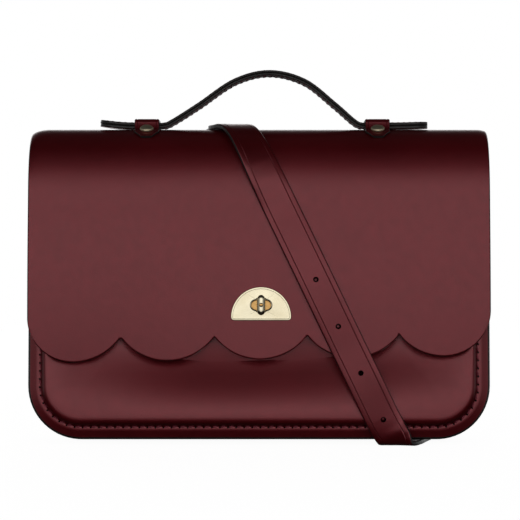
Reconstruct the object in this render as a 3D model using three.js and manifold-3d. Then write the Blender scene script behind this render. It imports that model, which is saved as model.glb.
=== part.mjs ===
// A leather satchel: two panels joined by a gusset, a scalloped flap with a half-moon turn lock,
// a flat handle that slides through two riveted loops, and an adjustable shoulder strap.
// Millimetres. X runs to the bearer's right, -Y is the front, +Z is up, and Z = 0 is the floor.
import * as THREE from "three";
import { mergeVertices } from "three/addons/utils/BufferGeometryUtils.js";
import Module from "manifold-3d";

const wasm = await Module();
wasm.setup();

// ---------------------------------------------------------------- driving dimensions
const clearance = 0.3; // between pieces that touch

const bagWidth = 332;
const bagFloor = 4.4; // the bag's lower edge stands clear of the strap that lies under it
const cornerRadius = 34;
const baseHalfDepth = 38; // from the middle to the seam between gusset and panel, at the base
const topHalfDepth = 27; // the same at the height of the flap's bend
const panelThickness = 2.3;
const panelTop = 196;
const pillow = 6; // how far the front panel is blocked out inside its stitched border
const seamBorder = 9; // width of the flat border outside the gusset wall
const gussetThickness = 2;

const hingeHeight = 202.2; // where the flap bends away from the back panel
const crownRadius = 25;
const flapThickness = 2.3;
const flapHang = 46; // how far forward the flap's lower edge hangs
const flapSweep = 9.1; // how much further back the flap is where it meets the crown
const flapLowest = 58;
const scallopCount = 5;
const scallopDepth = 16.7;
const scallopShift = 1.3;
const cuspHeight = 78.4;
const flapSkew = 0.0166; // the hand-cut scallops climb a little towards the right

const lockHeight = 100.7;
const lockX = 1.5;

const handleWidth = 20;
const layerThickness = 2.2;
const handleReach = 117.5; // from the middle to the tip of an end tab
const loopX = 82;
const loopWidth = 18;
const loopThickness = 2.2;
const rivetAngle = 27; // where a loop's rivet sits on the crown, in degrees from the top
const loopTipAngle = 45;

const strapWidth = 25;
const strapThickness = 3.4;
const strapSlope = 0.48; // sideways travel for each millimetre along the strap
const strapTopX = -23.2; // where the strap crosses the middle of the crown
const holePitch = 37;
const holeCount = 10;

const ringX = 125;
const ringHeight = 172;
const ringWire = 1.6;
const ringOut = 6.4; // distance of the ring's plane from the back panel
const ringDrop = 19;
const buckleWire = 1.5;
const buckleOut = 6.2;
const heelBar = -85; // heights of the buckle's two bars below the ring's straight bar
const tipBar = -109;

// ---------------------------------------------------------------- materials
function finish(color, roughness, metalness) {
  return new THREE.MeshStandardMaterial({ color, roughness, metalness });
}
const burgundy = finish(0x6a2329, 0.38, 0);
const strapLeather = finish(0x5a1c22, 0.38, 0);
const lining = finish(0x4a2a2a, 0.85, 0);
const paleGold = finish(0xe4d3ae, 0.18, 1);
const silver = finish(0xc9c4ba, 0.3, 1);

// ---------------------------------------------------------------- helpers
const bag = new THREE.Group();
const degrees = Math.PI / 180;
const at2 = (x, y) => new THREE.Vector2(x, y);
const at3 = (x, y, z) => new THREE.Vector3(x, y, z);

function arc(centreX, centreY, radius, from, to, steps) {
  const points = [];
  for (let i = 0; i <= steps; i++) {
    const angle = (from + ((to - from) * i) / steps) * degrees;
    points.push(at2(centreX + radius * Math.cos(angle), centreY + radius * Math.sin(angle)));
  }
  return points;
}

// A flat outline in X and Z, made solid between two depths.
function throughBag(outline, yFront, yBack) {
  const shape = new THREE.Shape(outline);
  const geometry = new THREE.ExtrudeGeometry(shape, { depth: yBack - yFront, bevelEnabled: false });
  return geometry.rotateX(Math.PI / 2).translate(0, yBack, 0);
}

// A side profile in Y and Z, made solid across the bag.
function acrossBag(profile, width, hole) {
  const shape = new THREE.Shape(profile);
  if (hole) shape.holes.push(new THREE.Path(hole));
  const geometry = new THREE.ExtrudeGeometry(shape, { depth: width, bevelEnabled: false });
  return geometry.translate(0, 0, -width / 2).rotateY(Math.PI / 2).rotateX(Math.PI / 2);
}

// The outline of a strip of even thickness that follows a line of points.
function stripProfile(line, thickness, roundStart) {
  const left = [];
  const right = [];
  for (let i = 0; i < line.length; i++) {
    const before = line[Math.max(i - 1, 0)];
    const after = line[Math.min(i + 1, line.length - 1)];
    const along = after.clone().sub(before).normalize();
    const side = at2(-along.y, along.x).multiplyScalar(thickness / 2);
    left.push(line[i].clone().add(side));
    right.push(line[i].clone().sub(side));
  }
  const start = [];
  if (roundStart) {
    const heading = Math.atan2(line[1].y - line[0].y, line[1].x - line[0].x) / degrees;
    start.push(...arc(line[0].x, line[0].y, thickness / 2, heading - 120, heading - 240, 4));
  }
  return [...start, ...left, ...right.reverse()];
}

function toSolid(geometry) {
  const bare = new THREE.BufferGeometry();
  bare.setAttribute("position", geometry.getAttribute("position"));
  if (geometry.index) bare.setIndex(geometry.index);
  const merged = mergeVertices(bare, 1e-4);
  const vertProperties = new Float32Array(merged.getAttribute("position").array);
  const triVerts = new Uint32Array(merged.index.array);
  return new wasm.Manifold(new wasm.Mesh({ numProp: 3, vertProperties, triVerts }));
}

function toGeometry(solid) {
  const made = solid.getMesh();
  const geometry = new THREE.BufferGeometry();
  geometry.setAttribute("position", new THREE.BufferAttribute(made.vertProperties, 3));
  geometry.setIndex(new THREE.BufferAttribute(made.triVerts, 1));
  return geometry;
}

function cut(geometry, ...cutters) {
  return toGeometry(cutters.reduce((solid, cutter) => solid.subtract(toSolid(cutter)), toSolid(geometry)));
}

function join(...geometries) {
  return toGeometry(geometries.map(toSolid).reduce((a, b) => a.add(b)));
}

function common(a, b) {
  return toGeometry(toSolid(a).intersect(toSolid(b)));
}

function piece(name, geometry, material) {
  const mesh = new THREE.Mesh(geometry, material);
  mesh.name = name;
  bag.add(mesh);
  return mesh;
}

function cylinder(radius, length, sides = 12) {
  return new THREE.CylinderGeometry(radius, radius, length, sides);
}

function signedVolume(positions, faces) {
  const corner = (i) => at3(...positions.slice(3 * faces[i], 3 * faces[i] + 3));
  let volume = 0;
  for (let i = 0; i < faces.length; i += 3) {
    volume += corner(i).dot(corner(i + 1).cross(corner(i + 2))) / 6;
  }
  return volume;
}

// A closed skin from rings of points, each ring with the same number of points, and two end caps.
function skin(rings, closedRound) {
  const count = rings[0].length;
  const positions = rings.flat().flatMap((p) => [p.x, p.y, p.z]);
  const faces = [];
  const last = closedRound ? rings.length : rings.length - 1;
  for (let r = 0; r < last; r++) {
    const next = (r + 1) % rings.length;
    for (let i = 0; i < count; i++) {
      const j = (i + 1) % count;
      const [a, b, c, d] = [r * count + i, r * count + j, next * count + j, next * count + i];
      faces.push(a, b, c, a, c, d);
    }
  }
  if (!closedRound) {
    for (let i = 1; i < count - 1; i++) {
      faces.push(0, i + 1, i);
      const top = (rings.length - 1) * count;
      faces.push(top, top + i, top + i + 1);
    }
  }
  const geometry = new THREE.BufferGeometry();
  geometry.setAttribute("position", new THREE.Float32BufferAttribute(positions, 3));
  geometry.setIndex(signedVolume(positions, faces) < 0 ? faces.reverse() : faces);
  return geometry;
}

// A bent wire with a round section that closes on itself, lying in one plane with this normal.
function closedWire(path, radius, normal) {
  const rings = path.map((point, i) => {
    const before = path[(i + path.length - 1) % path.length];
    const after = path[(i + 1) % path.length];
    const along = after.clone().sub(before).normalize();
    const side = at3(0, 0, 0).crossVectors(normal, along);
    return arc(0, 0, radius, 0, 315, 7).map((p) =>
      point.clone().addScaledVector(side, p.x).addScaledVector(normal, p.y)
    );
  });
  return skin(rings, true);
}

// A flat strap through a list of stations, each with its place and the direction across it.
function ribbon(stations, width, thickness) {
  const rings = stations.map((station, i) => {
    const before = stations[Math.max(i - 1, 0)].place;
    const after = stations[Math.min(i + 1, stations.length - 1)].place;
    const along = after.clone().sub(before).normalize();
    const across = station.across.clone().addScaledVector(along, -along.dot(station.across)).normalize();
    const out = at3(0, 0, 0).crossVectors(along, across);
    const corner = (a, b) =>
      station.place.clone().addScaledVector(across, (a * width) / 2).addScaledVector(out, (b * thickness) / 2);
    return [corner(-1, -1), corner(1, -1), corner(1, 1), corner(-1, 1)];
  });
  return skin(rings, false);
}

// ---------------------------------------------------------------- shape of the bag
const lean = Math.atan((baseHalfDepth - topHalfDepth) / (hingeHeight - bagFloor));

function halfDepth(z) {
  return baseHalfDepth - (z - bagFloor) * Math.tan(lean);
}

// The edge of a panel, drawn inwards by an inset. Every inset gives the same number of points.
function panelOutline(inset, top, topRadius) {
  const right = bagWidth / 2 - inset;
  const low = bagFloor + inset;
  const high = top - inset;
  const lower = Math.max(cornerRadius - inset, 2);
  const upper = Math.max(topRadius - inset, 1);
  return [
    ...arc(right - lower, low + lower, lower, -90, 0, 8),
    ...arc(right - upper, high - upper, upper, 0, 90, 3),
    ...arc(-right + upper, high - upper, upper, 90, 180, 3),
    ...arc(-right + lower, low + lower, lower, 180, 270, 8),
  ];
}

// A panel of even thickness against the seam plane, blocked outwards inside its border.
function leatherPanel(side, top, topRadius, blocking) {
  const insets = blocking ? [0, seamBorder, 12, 17, 25, 38] : [0];
  const surface = (inset, outward) => {
    const rise = blocking * Math.sin((Math.PI / 2) * Math.max(0, (inset - seamBorder) / (38 - seamBorder)));
    return panelOutline(inset, top, topRadius).map((p) =>
      at3(p.x, side * (halfDepth(p.y) + clearance / 2 + outward + rise), p.y)
    );
  };
  const inner = insets.map((inset) => surface(inset, 0)).reverse();
  const outer = insets.map((inset) => surface(inset, panelThickness));
  return skin([...inner, ...outer], false);
}

// The flap's middle surface seen from the side, from its bend at the back, over the crown, to the front.
const backCentre = halfDepth(hingeHeight) + clearance / 2 + panelThickness / 2 - crownRadius;
const hingeY = backCentre + crownRadius;
const frontAngle = 7;
const frontStart = hingeHeight + crownRadius * Math.sin(frontAngle * degrees);

function flapFrontY(z) {
  const share = (z - flapLowest) / (frontStart - flapLowest);
  return -(flapHang - flapSweep * share * share);
}
const frontCentre = flapFrontY(frontStart) + crownRadius * Math.cos(frontAngle * degrees);

function flapLine(offset, lowest, frontSteps) {
  const radius = crownRadius + offset;
  const line = [
    ...arc(backCentre, hingeHeight, radius, 0, 90, 7),
    ...arc(frontCentre, hingeHeight, radius, 90, 180 - frontAngle, 7),
  ];
  for (let i = 1; i <= frontSteps; i++) {
    const z = frontStart + ((lowest - frontStart) * i) / frontSteps;
    line.push(at2(flapFrontY(z) - offset, z));
  }
  return line;
}

function flapOutline() {
  const half = bagWidth / 2;
  const pitch = bagWidth / scallopCount;
  const radius = (pitch * pitch) / (8 * scallopDepth) + scallopDepth / 2;
  const sweep = Math.asin(pitch / 2 / radius) / degrees;
  const bottom = cuspHeight - scallopDepth;
  const points = [];
  for (let i = 0; i < scallopCount; i++) {
    const middle = -half + pitch * (i + 0.5) + (i > 0 && i < scallopCount - 1 ? scallopShift : 0);
    const from = i === 0 ? -90 : -90 - sweep;
    const to = i === scallopCount - 1 ? -90 : -90 + sweep;
    if (i === 0) points.push(...arc(-half + pitch / 2, bottom + pitch / 2, pitch / 2, 180, 262, 8));
    points.push(...arc(middle, bottom + radius, radius, from, to, 10));
    if (i === scallopCount - 1) points.push(...arc(half - pitch / 2, bottom + pitch / 2, pitch / 2, -82, 0, 8));
  }
  const skewed = points.map((p) => at2(p.x, p.y + p.x * flapSkew));
  const crown = hingeHeight + crownRadius + flapThickness;
  return [...skewed, at2(half, crown), at2(-half, crown)];
}

// ---------------------------------------------------------------- frames to place hardware in
// The back panel's outer face at a height: local Y points out of it and local Z up along it.
function onBack(x, height) {
  const frame = new THREE.Matrix4().makeRotationX(lean);
  const y = halfDepth(height) + clearance / 2 + panelThickness;
  return frame.setPosition(x, y, height);
}

// The crown of the flap at an angle from its top: local Z points out of it, from the arc's centre.
function onCrown(x, angle) {
  const frame = new THREE.Matrix4().makeRotationX(angle * degrees);
  return frame.setPosition(x, angle > 0 ? frontCentre : backCentre, hingeHeight);
}

// The flap's face at the lock: local -Y points out of it.
const lockTilt = Math.atan((2 * flapSweep * (lockHeight - flapLowest)) / (frontStart - flapLowest) ** 2);
const lockFrame = new THREE.Matrix4().makeRotationX(-lockTilt).setPosition(lockX, flapFrontY(lockHeight), lockHeight);

// ---------------------------------------------------------------- rivets and holes
// A domed rivet along local Z, from the head's seat down through the layers to its washer.
function rivet(seat, washerTop, headRadius, headRise) {
  const washerRadius = 3.4;
  const profile = [
    at2(0, washerTop - 0.9),
    at2(washerRadius, washerTop - 0.9),
    at2(washerRadius, washerTop),
    at2(rivetShank, washerTop),
    at2(rivetShank, seat),
    at2(headRadius, seat),
    at2(headRadius, seat + headRise * 0.35),
    at2(headRadius * 0.72, seat + headRise * 0.8),
    at2(0, seat + headRise),
  ];
  return new THREE.LatheGeometry(profile, 14).rotateX(Math.PI / 2);
}

// A round punch along local Z.
function punch(radius, from, to) {
  return cylinder(radius, to - from).rotateX(Math.PI / 2).translate(0, 0, (from + to) / 2);
}
const rivetShank = 1.5;
const rivetHole = 1.9;

// Turns a thing made along local Z so that it points out of the back panel, at a height along it.
function outOfBackAt(height) {
  return new THREE.Matrix4().makeRotationX(-Math.PI / 2).setPosition(0, 0, height);
}

// ---------------------------------------------------------------- body
const lockPunch = cylinder(3, 30).applyMatrix4(lockFrame);
piece("front_panel", cut(leatherPanel(-1, panelTop, 10, pillow), lockPunch), burgundy);

const sides = { left: -1, right: 1 };
const tabRivetUp = 16; // above the ring's straight bar
const tabRivetPlace = (side) => onBack(side * ringX, ringHeight).multiply(outOfBackAt(tabRivetUp));
const tabPunches = Object.values(sides).map((side) =>
  punch(rivetHole, -10, 10).applyMatrix4(tabRivetPlace(side))
);
const backTop = hingeHeight - flapThickness / 2 - 2 * clearance; // room for the flap to fold right back
piece("back_panel", cut(leatherPanel(1, backTop, 1, 0), ...tabPunches), burgundy);

// A band of the panel's outline between two insets, open at the top, through the whole depth.
function bandThrough(outer, inner, top) {
  const reach = 60;
  const inside = panelOutline(inner, top + 2 * inner + 40, 1);
  const outside = panelOutline(outer, top + outer, 1);
  return cut(throughBag(outside, -reach, reach), throughBag(inside, -reach - 1, reach + 1));
}

function sideSlab(from, to) {
  const edge = (offset) => [at2(halfDepth(0) - offset, 0), at2(halfDepth(hingeHeight) - offset, hingeHeight)];
  const [lowOut, highOut] = edge(from);
  const [lowIn, highIn] = edge(to);
  return acrossBag([lowIn, lowOut, highOut, highIn], bagWidth + 10);
}
const wedge = acrossBag(
  [
    at2(-halfDepth(0), 0),
    at2(halfDepth(0), 0),
    at2(halfDepth(hingeHeight), hingeHeight),
    at2(-halfDepth(hingeHeight), hingeHeight),
  ],
  bagWidth + 10
);
const gussetTop = panelTop - 1;
const wall = common(bandThrough(seamBorder, seamBorder + gussetThickness, gussetTop), wedge);
const flangeBand = bandThrough(0, seamBorder + gussetThickness, gussetTop);
const frontFlange = common(flangeBand, sideSlab(0, gussetThickness).rotateZ(Math.PI));
const backFlange = common(flangeBand, sideSlab(0, gussetThickness));
piece("gusset", join(wall, frontFlange, backFlange), burgundy);

// A slip pocket sewn to the inside of the back panel, open at its top.
const pocketWidth = 200;
const pocketHeight = 110;
const pocketDepth = 9;
const pocketBottom = 50;
const pocketSheet = 1.6;
const pocketOuter = new THREE.BoxGeometry(pocketWidth, pocketDepth, pocketHeight);
const pocketInner = new THREE.BoxGeometry(pocketWidth - 2 * pocketSheet, pocketDepth, pocketHeight);
pocketInner.translate(0, pocketSheet, pocketSheet);
const pocket = cut(pocketOuter, pocketInner).translate(
  0,
  -pocketDepth / 2 - panelThickness - clearance,
  pocketHeight / 2
);
piece("inner_pocket", pocket.applyMatrix4(onBack(0, pocketBottom)), lining);

// ---------------------------------------------------------------- flap
const flapBlank = common(
  acrossBag(stripProfile(flapLine(0, flapLowest - 6, 16), flapThickness, true), bagWidth + 10),
  throughBag(flapOutline(), -80, 60)
);

// A slot with round ends, as a closed outline.
function stadium(length, height) {
  const half = (length - height) / 2;
  return [...arc(half, 0, height / 2, -90, 90, 6), ...arc(-half, 0, height / 2, 90, 270, 6)];
}
const slotLength = 21;
const slotHeight = 8;
const slotPunch = throughBag(stadium(slotLength + 0.8, slotHeight + 0.8), -8, 8).applyMatrix4(lockFrame);
const loopPunches = Object.values(sides).flatMap((side) =>
  [rivetAngle, -rivetAngle].map((angle) => punch(rivetHole, 20, 32).applyMatrix4(onCrown(side * loopX, angle)))
);
piece("flap", cut(flapBlank, slotPunch, ...loopPunches), burgundy);

// ---------------------------------------------------------------- lock
const flapFace = flapThickness / 2;
const plateThickness = 1.2;
const backingThickness = 0.5;

// The half-moon plate: flat side down, with softened corners.
function halfMoon(width, height) {
  const radius = (width * width) / (8 * height) + height / 2;
  const centre = height - radius;
  const from = Math.asin(-centre / radius) / degrees;
  return arc(0, centre, radius, Math.max(from, -20) + 5, 175 - Math.max(from, -20), 20);
}
const moonBelow = 11;

function lockPlate(width, height, near, far) {
  const outline = halfMoon(width, height).map((p) => at2(p.x, p.y - moonBelow));
  const slot = throughBag(stadium(slotLength - 6, slotHeight - 1), -20, 20);
  return cut(throughBag(outline, -far, -near), slot);
}
const plateBack = flapFace + clearance;
const slotLip = cut(
  throughBag(stadium(slotLength, slotHeight + 2), -(plateBack + plateThickness + 0.8), -(plateBack + plateThickness)),
  throughBag(stadium(slotLength - 6, slotHeight - 1), -20, 20)
);
const plate = join(lockPlate(43, 24, plateBack, plateBack + plateThickness), slotLip);
piece("lock_plate", plate.applyMatrix4(lockFrame), paleGold);
const backingBack = -flapFace - clearance;
const backing = lockPlate(38, 21, backingBack - backingThickness, backingBack);
piece("lock_plate_backing", backing.applyMatrix4(lockFrame), silver);

// The base on the front panel: an oval plate, a neck that comes through the slot, and a pivot.
const panelFace = 3.8; // from the flap's middle surface back to the front panel's face
const baseThickness = 1.3;
const neckRadius = 2.6;
const pivotRadius = 1.2;
const knobBack = plateBack + plateThickness + 0.8 + clearance;
const knobThickness = 4;
const knobFront = knobBack + knobThickness;
const postProfile = [
  at2(0, -panelFace - 4),
  at2(neckRadius, -panelFace - 4),
  at2(neckRadius, knobBack - clearance),
  at2(pivotRadius, knobBack - clearance),
  at2(pivotRadius, knobFront + 0.2),
  at2(2.1, knobFront + 0.2),
  at2(1.6, knobFront + 0.9),
  at2(0, knobFront + 1),
];
const outOfLock = new THREE.Matrix4().makeRotationX(Math.PI / 2);
const post = new THREE.LatheGeometry(postProfile, 12).rotateX(Math.PI / 2).applyMatrix4(outOfLock);
const basePlate = throughBag(stadium(24, 15), panelFace - baseThickness, panelFace);
piece("lock_base", join(post, basePlate).applyMatrix4(lockFrame), paleGold);

const washerDepth = panelFace + panelThickness + 2 * clearance + 0.2;
const washerPlate = throughBag(stadium(22, 12), washerDepth, washerDepth + 0.8);
const washer = cut(washerPlate, cylinder(neckRadius + clearance, 30));
piece("lock_back_washer", washer.applyMatrix4(lockFrame), silver);

const knobLength = 15;
const knobBar = throughBag(stadium(knobLength, 6), -knobFront, -knobBack);
const knob = cut(knobBar, cylinder(pivotRadius + clearance, 30, 10)).rotateY(Math.PI / 2);
piece("lock_knob", knob.applyMatrix4(lockFrame), paleGold);

// ---------------------------------------------------------------- handle
const crownTop = hingeHeight + crownRadius + flapThickness / 2;
const handleSeat = crownTop + clearance;
const handleMiddle = handleSeat + layerThickness + clearance / 2;
const handleY = (frontCentre + backCentre) / 2;
const lapTop = loopX - loopWidth / 2 + 1; // where the arch's outer layer meets the end tab
const lapLining = lapTop - 10; // the end tab's lining reaches this much further in

// The handle's middle line, from one lap to the other. Its peak stands a little right of centre.
const archLine = new THREE.CatmullRomCurve3(
  [
    [-lapTop - 14, 0],
    [-lapTop + 3, 0],
    [-lapLining, 1.9],
    [-44, 12.5],
    [-17, 28.6],
    [6, 34.6],
    [27, 29.8],
    [47, 14.3],
    [lapLining, 2],
    [lapTop - 3, 0],
    [lapTop + 14, 0],
  ].map(([x, rise]) => at3(x, rise, 0)),
  false,
  "centripetal"
);

// One layer of the arch, above or below its middle line, cut off square at both ends.
function archLayer(level, end) {
  const line = archLine.getPoints(60).map((p) => at2(p.x, p.y));
  const kept = line.filter((p) => Math.abs(p.x) < end - 2);
  kept.unshift(at2(-end, archRise(line, -end)));
  kept.push(at2(end, archRise(line, end)));
  const offset = kept.map((p, i) => {
    const before = kept[Math.max(i - 1, 0)];
    const after = kept[Math.min(i + 1, kept.length - 1)];
    const along = after.clone().sub(before).normalize();
    return p.clone().add(at2(-along.y, along.x).multiplyScalar(level));
  });
  const profile = stripProfile(offset, layerThickness, false);
  return throughBag(profile, -handleWidth / 2, handleWidth / 2).translate(0, handleY, handleMiddle);
}

function archRise(line, x) {
  const i = line.findIndex((p) => p.x > x);
  const share = (x - line[i - 1].x) / (line[i].x - line[i - 1].x);
  return line[i - 1].y + share * (line[i].y - line[i - 1].y);
}
const layerOffset = (layerThickness + clearance) / 2;
piece("handle_arch_outer", archLayer(layerOffset, lapTop - clearance / 2), strapLeather);
piece("handle_arch_lining", archLayer(-layerOffset, lapLining - clearance / 2), strapLeather);

// An end tab: two sewn layers with a rounded tip; the lower one reaches in under the arch.
function handleEnd(side) {
  const tip = handleWidth / 2;
  const plan = (inner) => {
    const shape = new THREE.Shape([
      at2(inner, -tip),
      ...arc(handleReach - tip, 0, tip, -90, 90, 8),
      at2(inner, tip),
    ]);
    return new THREE.ExtrudeGeometry(shape, { depth: layerThickness, bevelEnabled: false });
  };
  const lower = plan(lapLining + clearance).translate(0, 0, -layerThickness - clearance / 2);
  const upper = plan(lapTop + clearance).translate(0, 0, -clearance / 2);
  const tab = join(lower, upper);
  return (side < 0 ? tab.rotateZ(Math.PI) : tab).translate(0, handleY, handleMiddle);
}
for (const [name, side] of Object.entries(sides)) {
  piece(`handle_end_${name}`, handleEnd(side), strapLeather);
}

// A loop lies on the crown, rises over the handle and comes down again behind it.
const loopRest = crownRadius + flapThickness / 2 + clearance + loopThickness / 2;
const loopOver = handleMiddle + layerThickness + clearance + loopThickness / 2;
const loopHalf = handleWidth / 2 + clearance + loopThickness / 2 + 0.4;

function loopLine() {
  const flat = 17;
  const front = arc(frontCentre, hingeHeight, loopRest, 90 + loopTipAngle, 90 + flat, 4);
  const back = arc(backCentre, hingeHeight, loopRest, 90 - flat, 90 - loopTipAngle, 4);
  const corner = 2;
  return [
    ...front,
    at2(handleY - loopHalf - 0.3, hingeHeight + loopRest + 0.2),
    ...arc(handleY - loopHalf + corner, loopOver - corner, corner, 180, 90, 2),
    ...arc(handleY + loopHalf - corner, loopOver - corner, corner, 90, 0, 2),
    at2(handleY + loopHalf + 0.3, hingeHeight + loopRest + 0.2),
    ...back,
  ];
}

// The loop's outline seen from above, with a point at each end.
function loopPlan() {
  const half = loopWidth / 2;
  const reachY = loopRest * Math.sin(loopTipAngle * degrees);
  const front = frontCentre - reachY;
  const back = backCentre + reachY;
  const shape = new THREE.Shape([
    at2(-half, front + 6),
    at2(-half * 0.45, front),
    at2(half * 0.45, front),
    at2(half, front + 6),
    at2(half, back - 6),
    at2(half * 0.45, back),
    at2(-half * 0.45, back),
    at2(-half, back - 6),
  ]);
  return new THREE.ExtrudeGeometry(shape, { depth: 300, bevelEnabled: false });
}
const loopBlank = common(acrossBag(stripProfile(loopLine(), loopThickness, false), loopWidth + 4), loopPlan());
const washerSeat = crownRadius - flapThickness / 2 - 3 * clearance;
const ends = { front: rivetAngle, back: -rivetAngle };
for (const [name, side] of Object.entries(sides)) {
  const punches = Object.values(ends).map((angle) => punch(rivetHole, 20, 34).applyMatrix4(onCrown(0, angle)));
  piece(`handle_loop_${name}`, cut(loopBlank, ...punches).translate(side * loopX, 0, 0), strapLeather);
  for (const [end, angle] of Object.entries(ends)) {
    const stud = rivet(loopRest + loopThickness / 2 + clearance, washerSeat, 4.7, 2.4);
    piece(`loop_rivet_${name}_${end}`, stud.applyMatrix4(onCrown(side * loopX, angle)), paleGold);
  }
}

// ---------------------------------------------------------------- rings and their tabs
// A rectangular loop of wire with rounded corners, in a plane parallel to the back panel.
function wireLoop(halfWidth, top, bottom, out, wire) {
  const bend = 4;
  const round = (x, z, from) => arc(x, z, bend, from, from + 90, 3);
  const path = [
    ...round(halfWidth - bend, top - bend, 0),
    ...round(-halfWidth + bend, top - bend, 90),
    ...round(-halfWidth + bend, bottom + bend, 180),
    ...round(halfWidth - bend, bottom + bend, 270),
  ];
  return closedWire(path.map((p) => at3(p.x, out, p.y)), wire, at3(0, 1, 0));
}

function tabProfile() {
  const sheet = 1.8;
  const turn = ringWire + clearance + sheet / 2;
  const rest = clearance + sheet / 2;
  const lapped = rest + sheet + clearance;
  const line = [
    at2(rest, 23),
    at2(rest, 9),
    ...arc(ringOut, 0, turn, 165, 390, 9),
    at2(lapped, 10.5),
    at2(lapped, 22),
  ];
  return stripProfile(line, sheet, false);
}

for (const [name, side] of Object.entries(sides)) {
  const place = onBack(side * ringX, ringHeight);
  const tab = cut(acrossBag(tabProfile(), 20), punch(rivetHole, -10, 20).applyMatrix4(outOfBackAt(tabRivetUp)));
  const stud = rivet(2 * (1.8 + clearance) + clearance, -panelThickness - clearance, 4.2, 2);
  piece(`ring_tab_rivet_${name}`, stud.applyMatrix4(tabRivetPlace(side)), paleGold);
  piece(`ring_tab_${name}`, tab.applyMatrix4(place), strapLeather);
  const ring = wireLoop(strapWidth / 2 + 3 + ringWire, 0, -ringDrop, ringOut, ringWire);
  piece(`strap_ring_${name}`, ring.applyMatrix4(place), paleGold);
}

// ---------------------------------------------------------------- short strap with the buckle
const shortThickness = 2.2;
const nearLayer = 3.6; // distances of the layers' middles from the back panel
const farLayer = 6.2;
const tailLayer = 9.3;
const strapEndRivet = -29;

function shortStrapProfile() {
  const ringTurn = ringWire + 1.7 * clearance + shortThickness / 2;
  const barTurn = buckleWire + 1.7 * clearance + shortThickness / 2;
  const line = [
    at2(nearLayer, strapEndRivet - 14),
    at2(nearLayer, strapEndRivet + 4),
    ...arc(ringOut, -ringDrop, ringTurn, 180, 0, 8),
    at2(farLayer, strapEndRivet + 4),
    at2(farLayer, heelBar + 14),
    ...arc(buckleOut, heelBar, barTurn, 0, -180, 8),
    at2(nearLayer, heelBar + 12),
    at2(nearLayer, strapEndRivet - 15),
  ];
  return stripProfile(line, shortThickness, false);
}
const prongWidth = 2.4;
const buckleSide = onBack(ringX, ringHeight);
const prongSlot = new THREE.BoxGeometry(prongWidth + 1.6, 20, 12).translate(0, buckleOut, heelBar - 1);
const shortPunch = punch(rivetHole, -10, 30).applyMatrix4(outOfBackAt(strapEndRivet));
const shortStrap = cut(acrossBag(shortStrapProfile(), strapWidth), prongSlot, shortPunch);
piece("strap_short", shortStrap.applyMatrix4(buckleSide), strapLeather);

// A rivet through a folded end, with a low cap on the side that faces the bag.
function foldRivet(near, far) {
  const capRadius = 3.6;
  const profile = [
    at2(0, near - clearance - 0.7),
    at2(capRadius, near - clearance - 0.7),
    at2(capRadius, near - clearance),
    at2(rivetShank, near - clearance),
    at2(rivetShank, far + clearance),
    at2(3.8, far + clearance),
    at2(2.9, far + clearance + 1.4),
    at2(0, far + clearance + 1.9),
  ];
  return new THREE.LatheGeometry(profile, 12).rotateX(Math.PI / 2);
}
const halfShort = shortThickness / 2;
const shortRivet = foldRivet(nearLayer - halfShort, farLayer + halfShort).applyMatrix4(outOfBackAt(strapEndRivet));
piece("strap_rivet_short", shortRivet.applyMatrix4(buckleSide), paleGold);

const buckle = wireLoop(strapWidth / 2 + 1.2 + buckleWire, heelBar, tipBar, buckleOut, buckleWire);
piece("buckle_frame", buckle.applyMatrix4(buckleSide), paleGold);

// The prong: an eye round the heel bar and an arm that lies on the outer face of the tip bar.
const eyeInner = buckleWire + clearance;
const eyeOuter = eyeInner + 1.1;
const prongTipOut = buckleOut + buckleWire + clearance;
const prongOutline = [
  ...arc(buckleOut, heelBar, eyeOuter, -60, 240, 12),
  at2(prongTipOut, tipBar + 2.5),
  at2(prongTipOut, tipBar - 2.5),
  at2(prongTipOut + 1.2, tipBar - 2.5),
  at2(prongTipOut + 1.6, tipBar + 2.5),
];
const eyeHole = arc(buckleOut, heelBar, eyeInner, 0, 330, 11);
const prong = acrossBag(prongOutline, prongWidth, eyeHole);
piece("buckle_prong", prong.applyMatrix4(buckleSide), paleGold);

// Keepers: bands of leather round the short strap and the tail that lies on it.
function keeper(height) {
  const inner = stadiumBox(strapWidth / 2 + 0.6, nearLayer - halfShort - clearance, tailLayer + strapThickness / 2 + clearance);
  const outer = stadiumBox(strapWidth / 2 + 2.2, nearLayer - halfShort - 1.9, tailLayer + strapThickness / 2 + 1.9);
  const shape = new THREE.Shape(outer);
  shape.holes.push(new THREE.Path(inner));
  return new THREE.ExtrudeGeometry(shape, { depth: 10, bevelEnabled: false }).translate(0, 0, height);
}

function stadiumBox(half, near, far) {
  return [at2(-half, near), at2(half, near), at2(half, far), at2(-half, far)];
}
piece("keeper_fixed", keeper(heelBar + 16).applyMatrix4(buckleSide), strapLeather);
piece("keeper_sliding", keeper(heelBar + 33).applyMatrix4(buckleSide), strapLeather);

// ---------------------------------------------------------------- long strap
const halfStrap = strapThickness / 2;
const strapRest = halfStrap; // the middle of the strap where it lies on the floor
const strapLift = flapThickness / 2 + clearance + halfStrap;

function station(place, acrossX, acrossY, acrossZ) {
  return { place, across: at3(acrossX, acrossY, acrossZ).normalize() };
}

function backStation(x, height, out, acrossX, acrossZ) {
  return station(at3(0, out, 0).applyMatrix4(onBack(x, height)), acrossX, 0, acrossZ);
}

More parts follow.
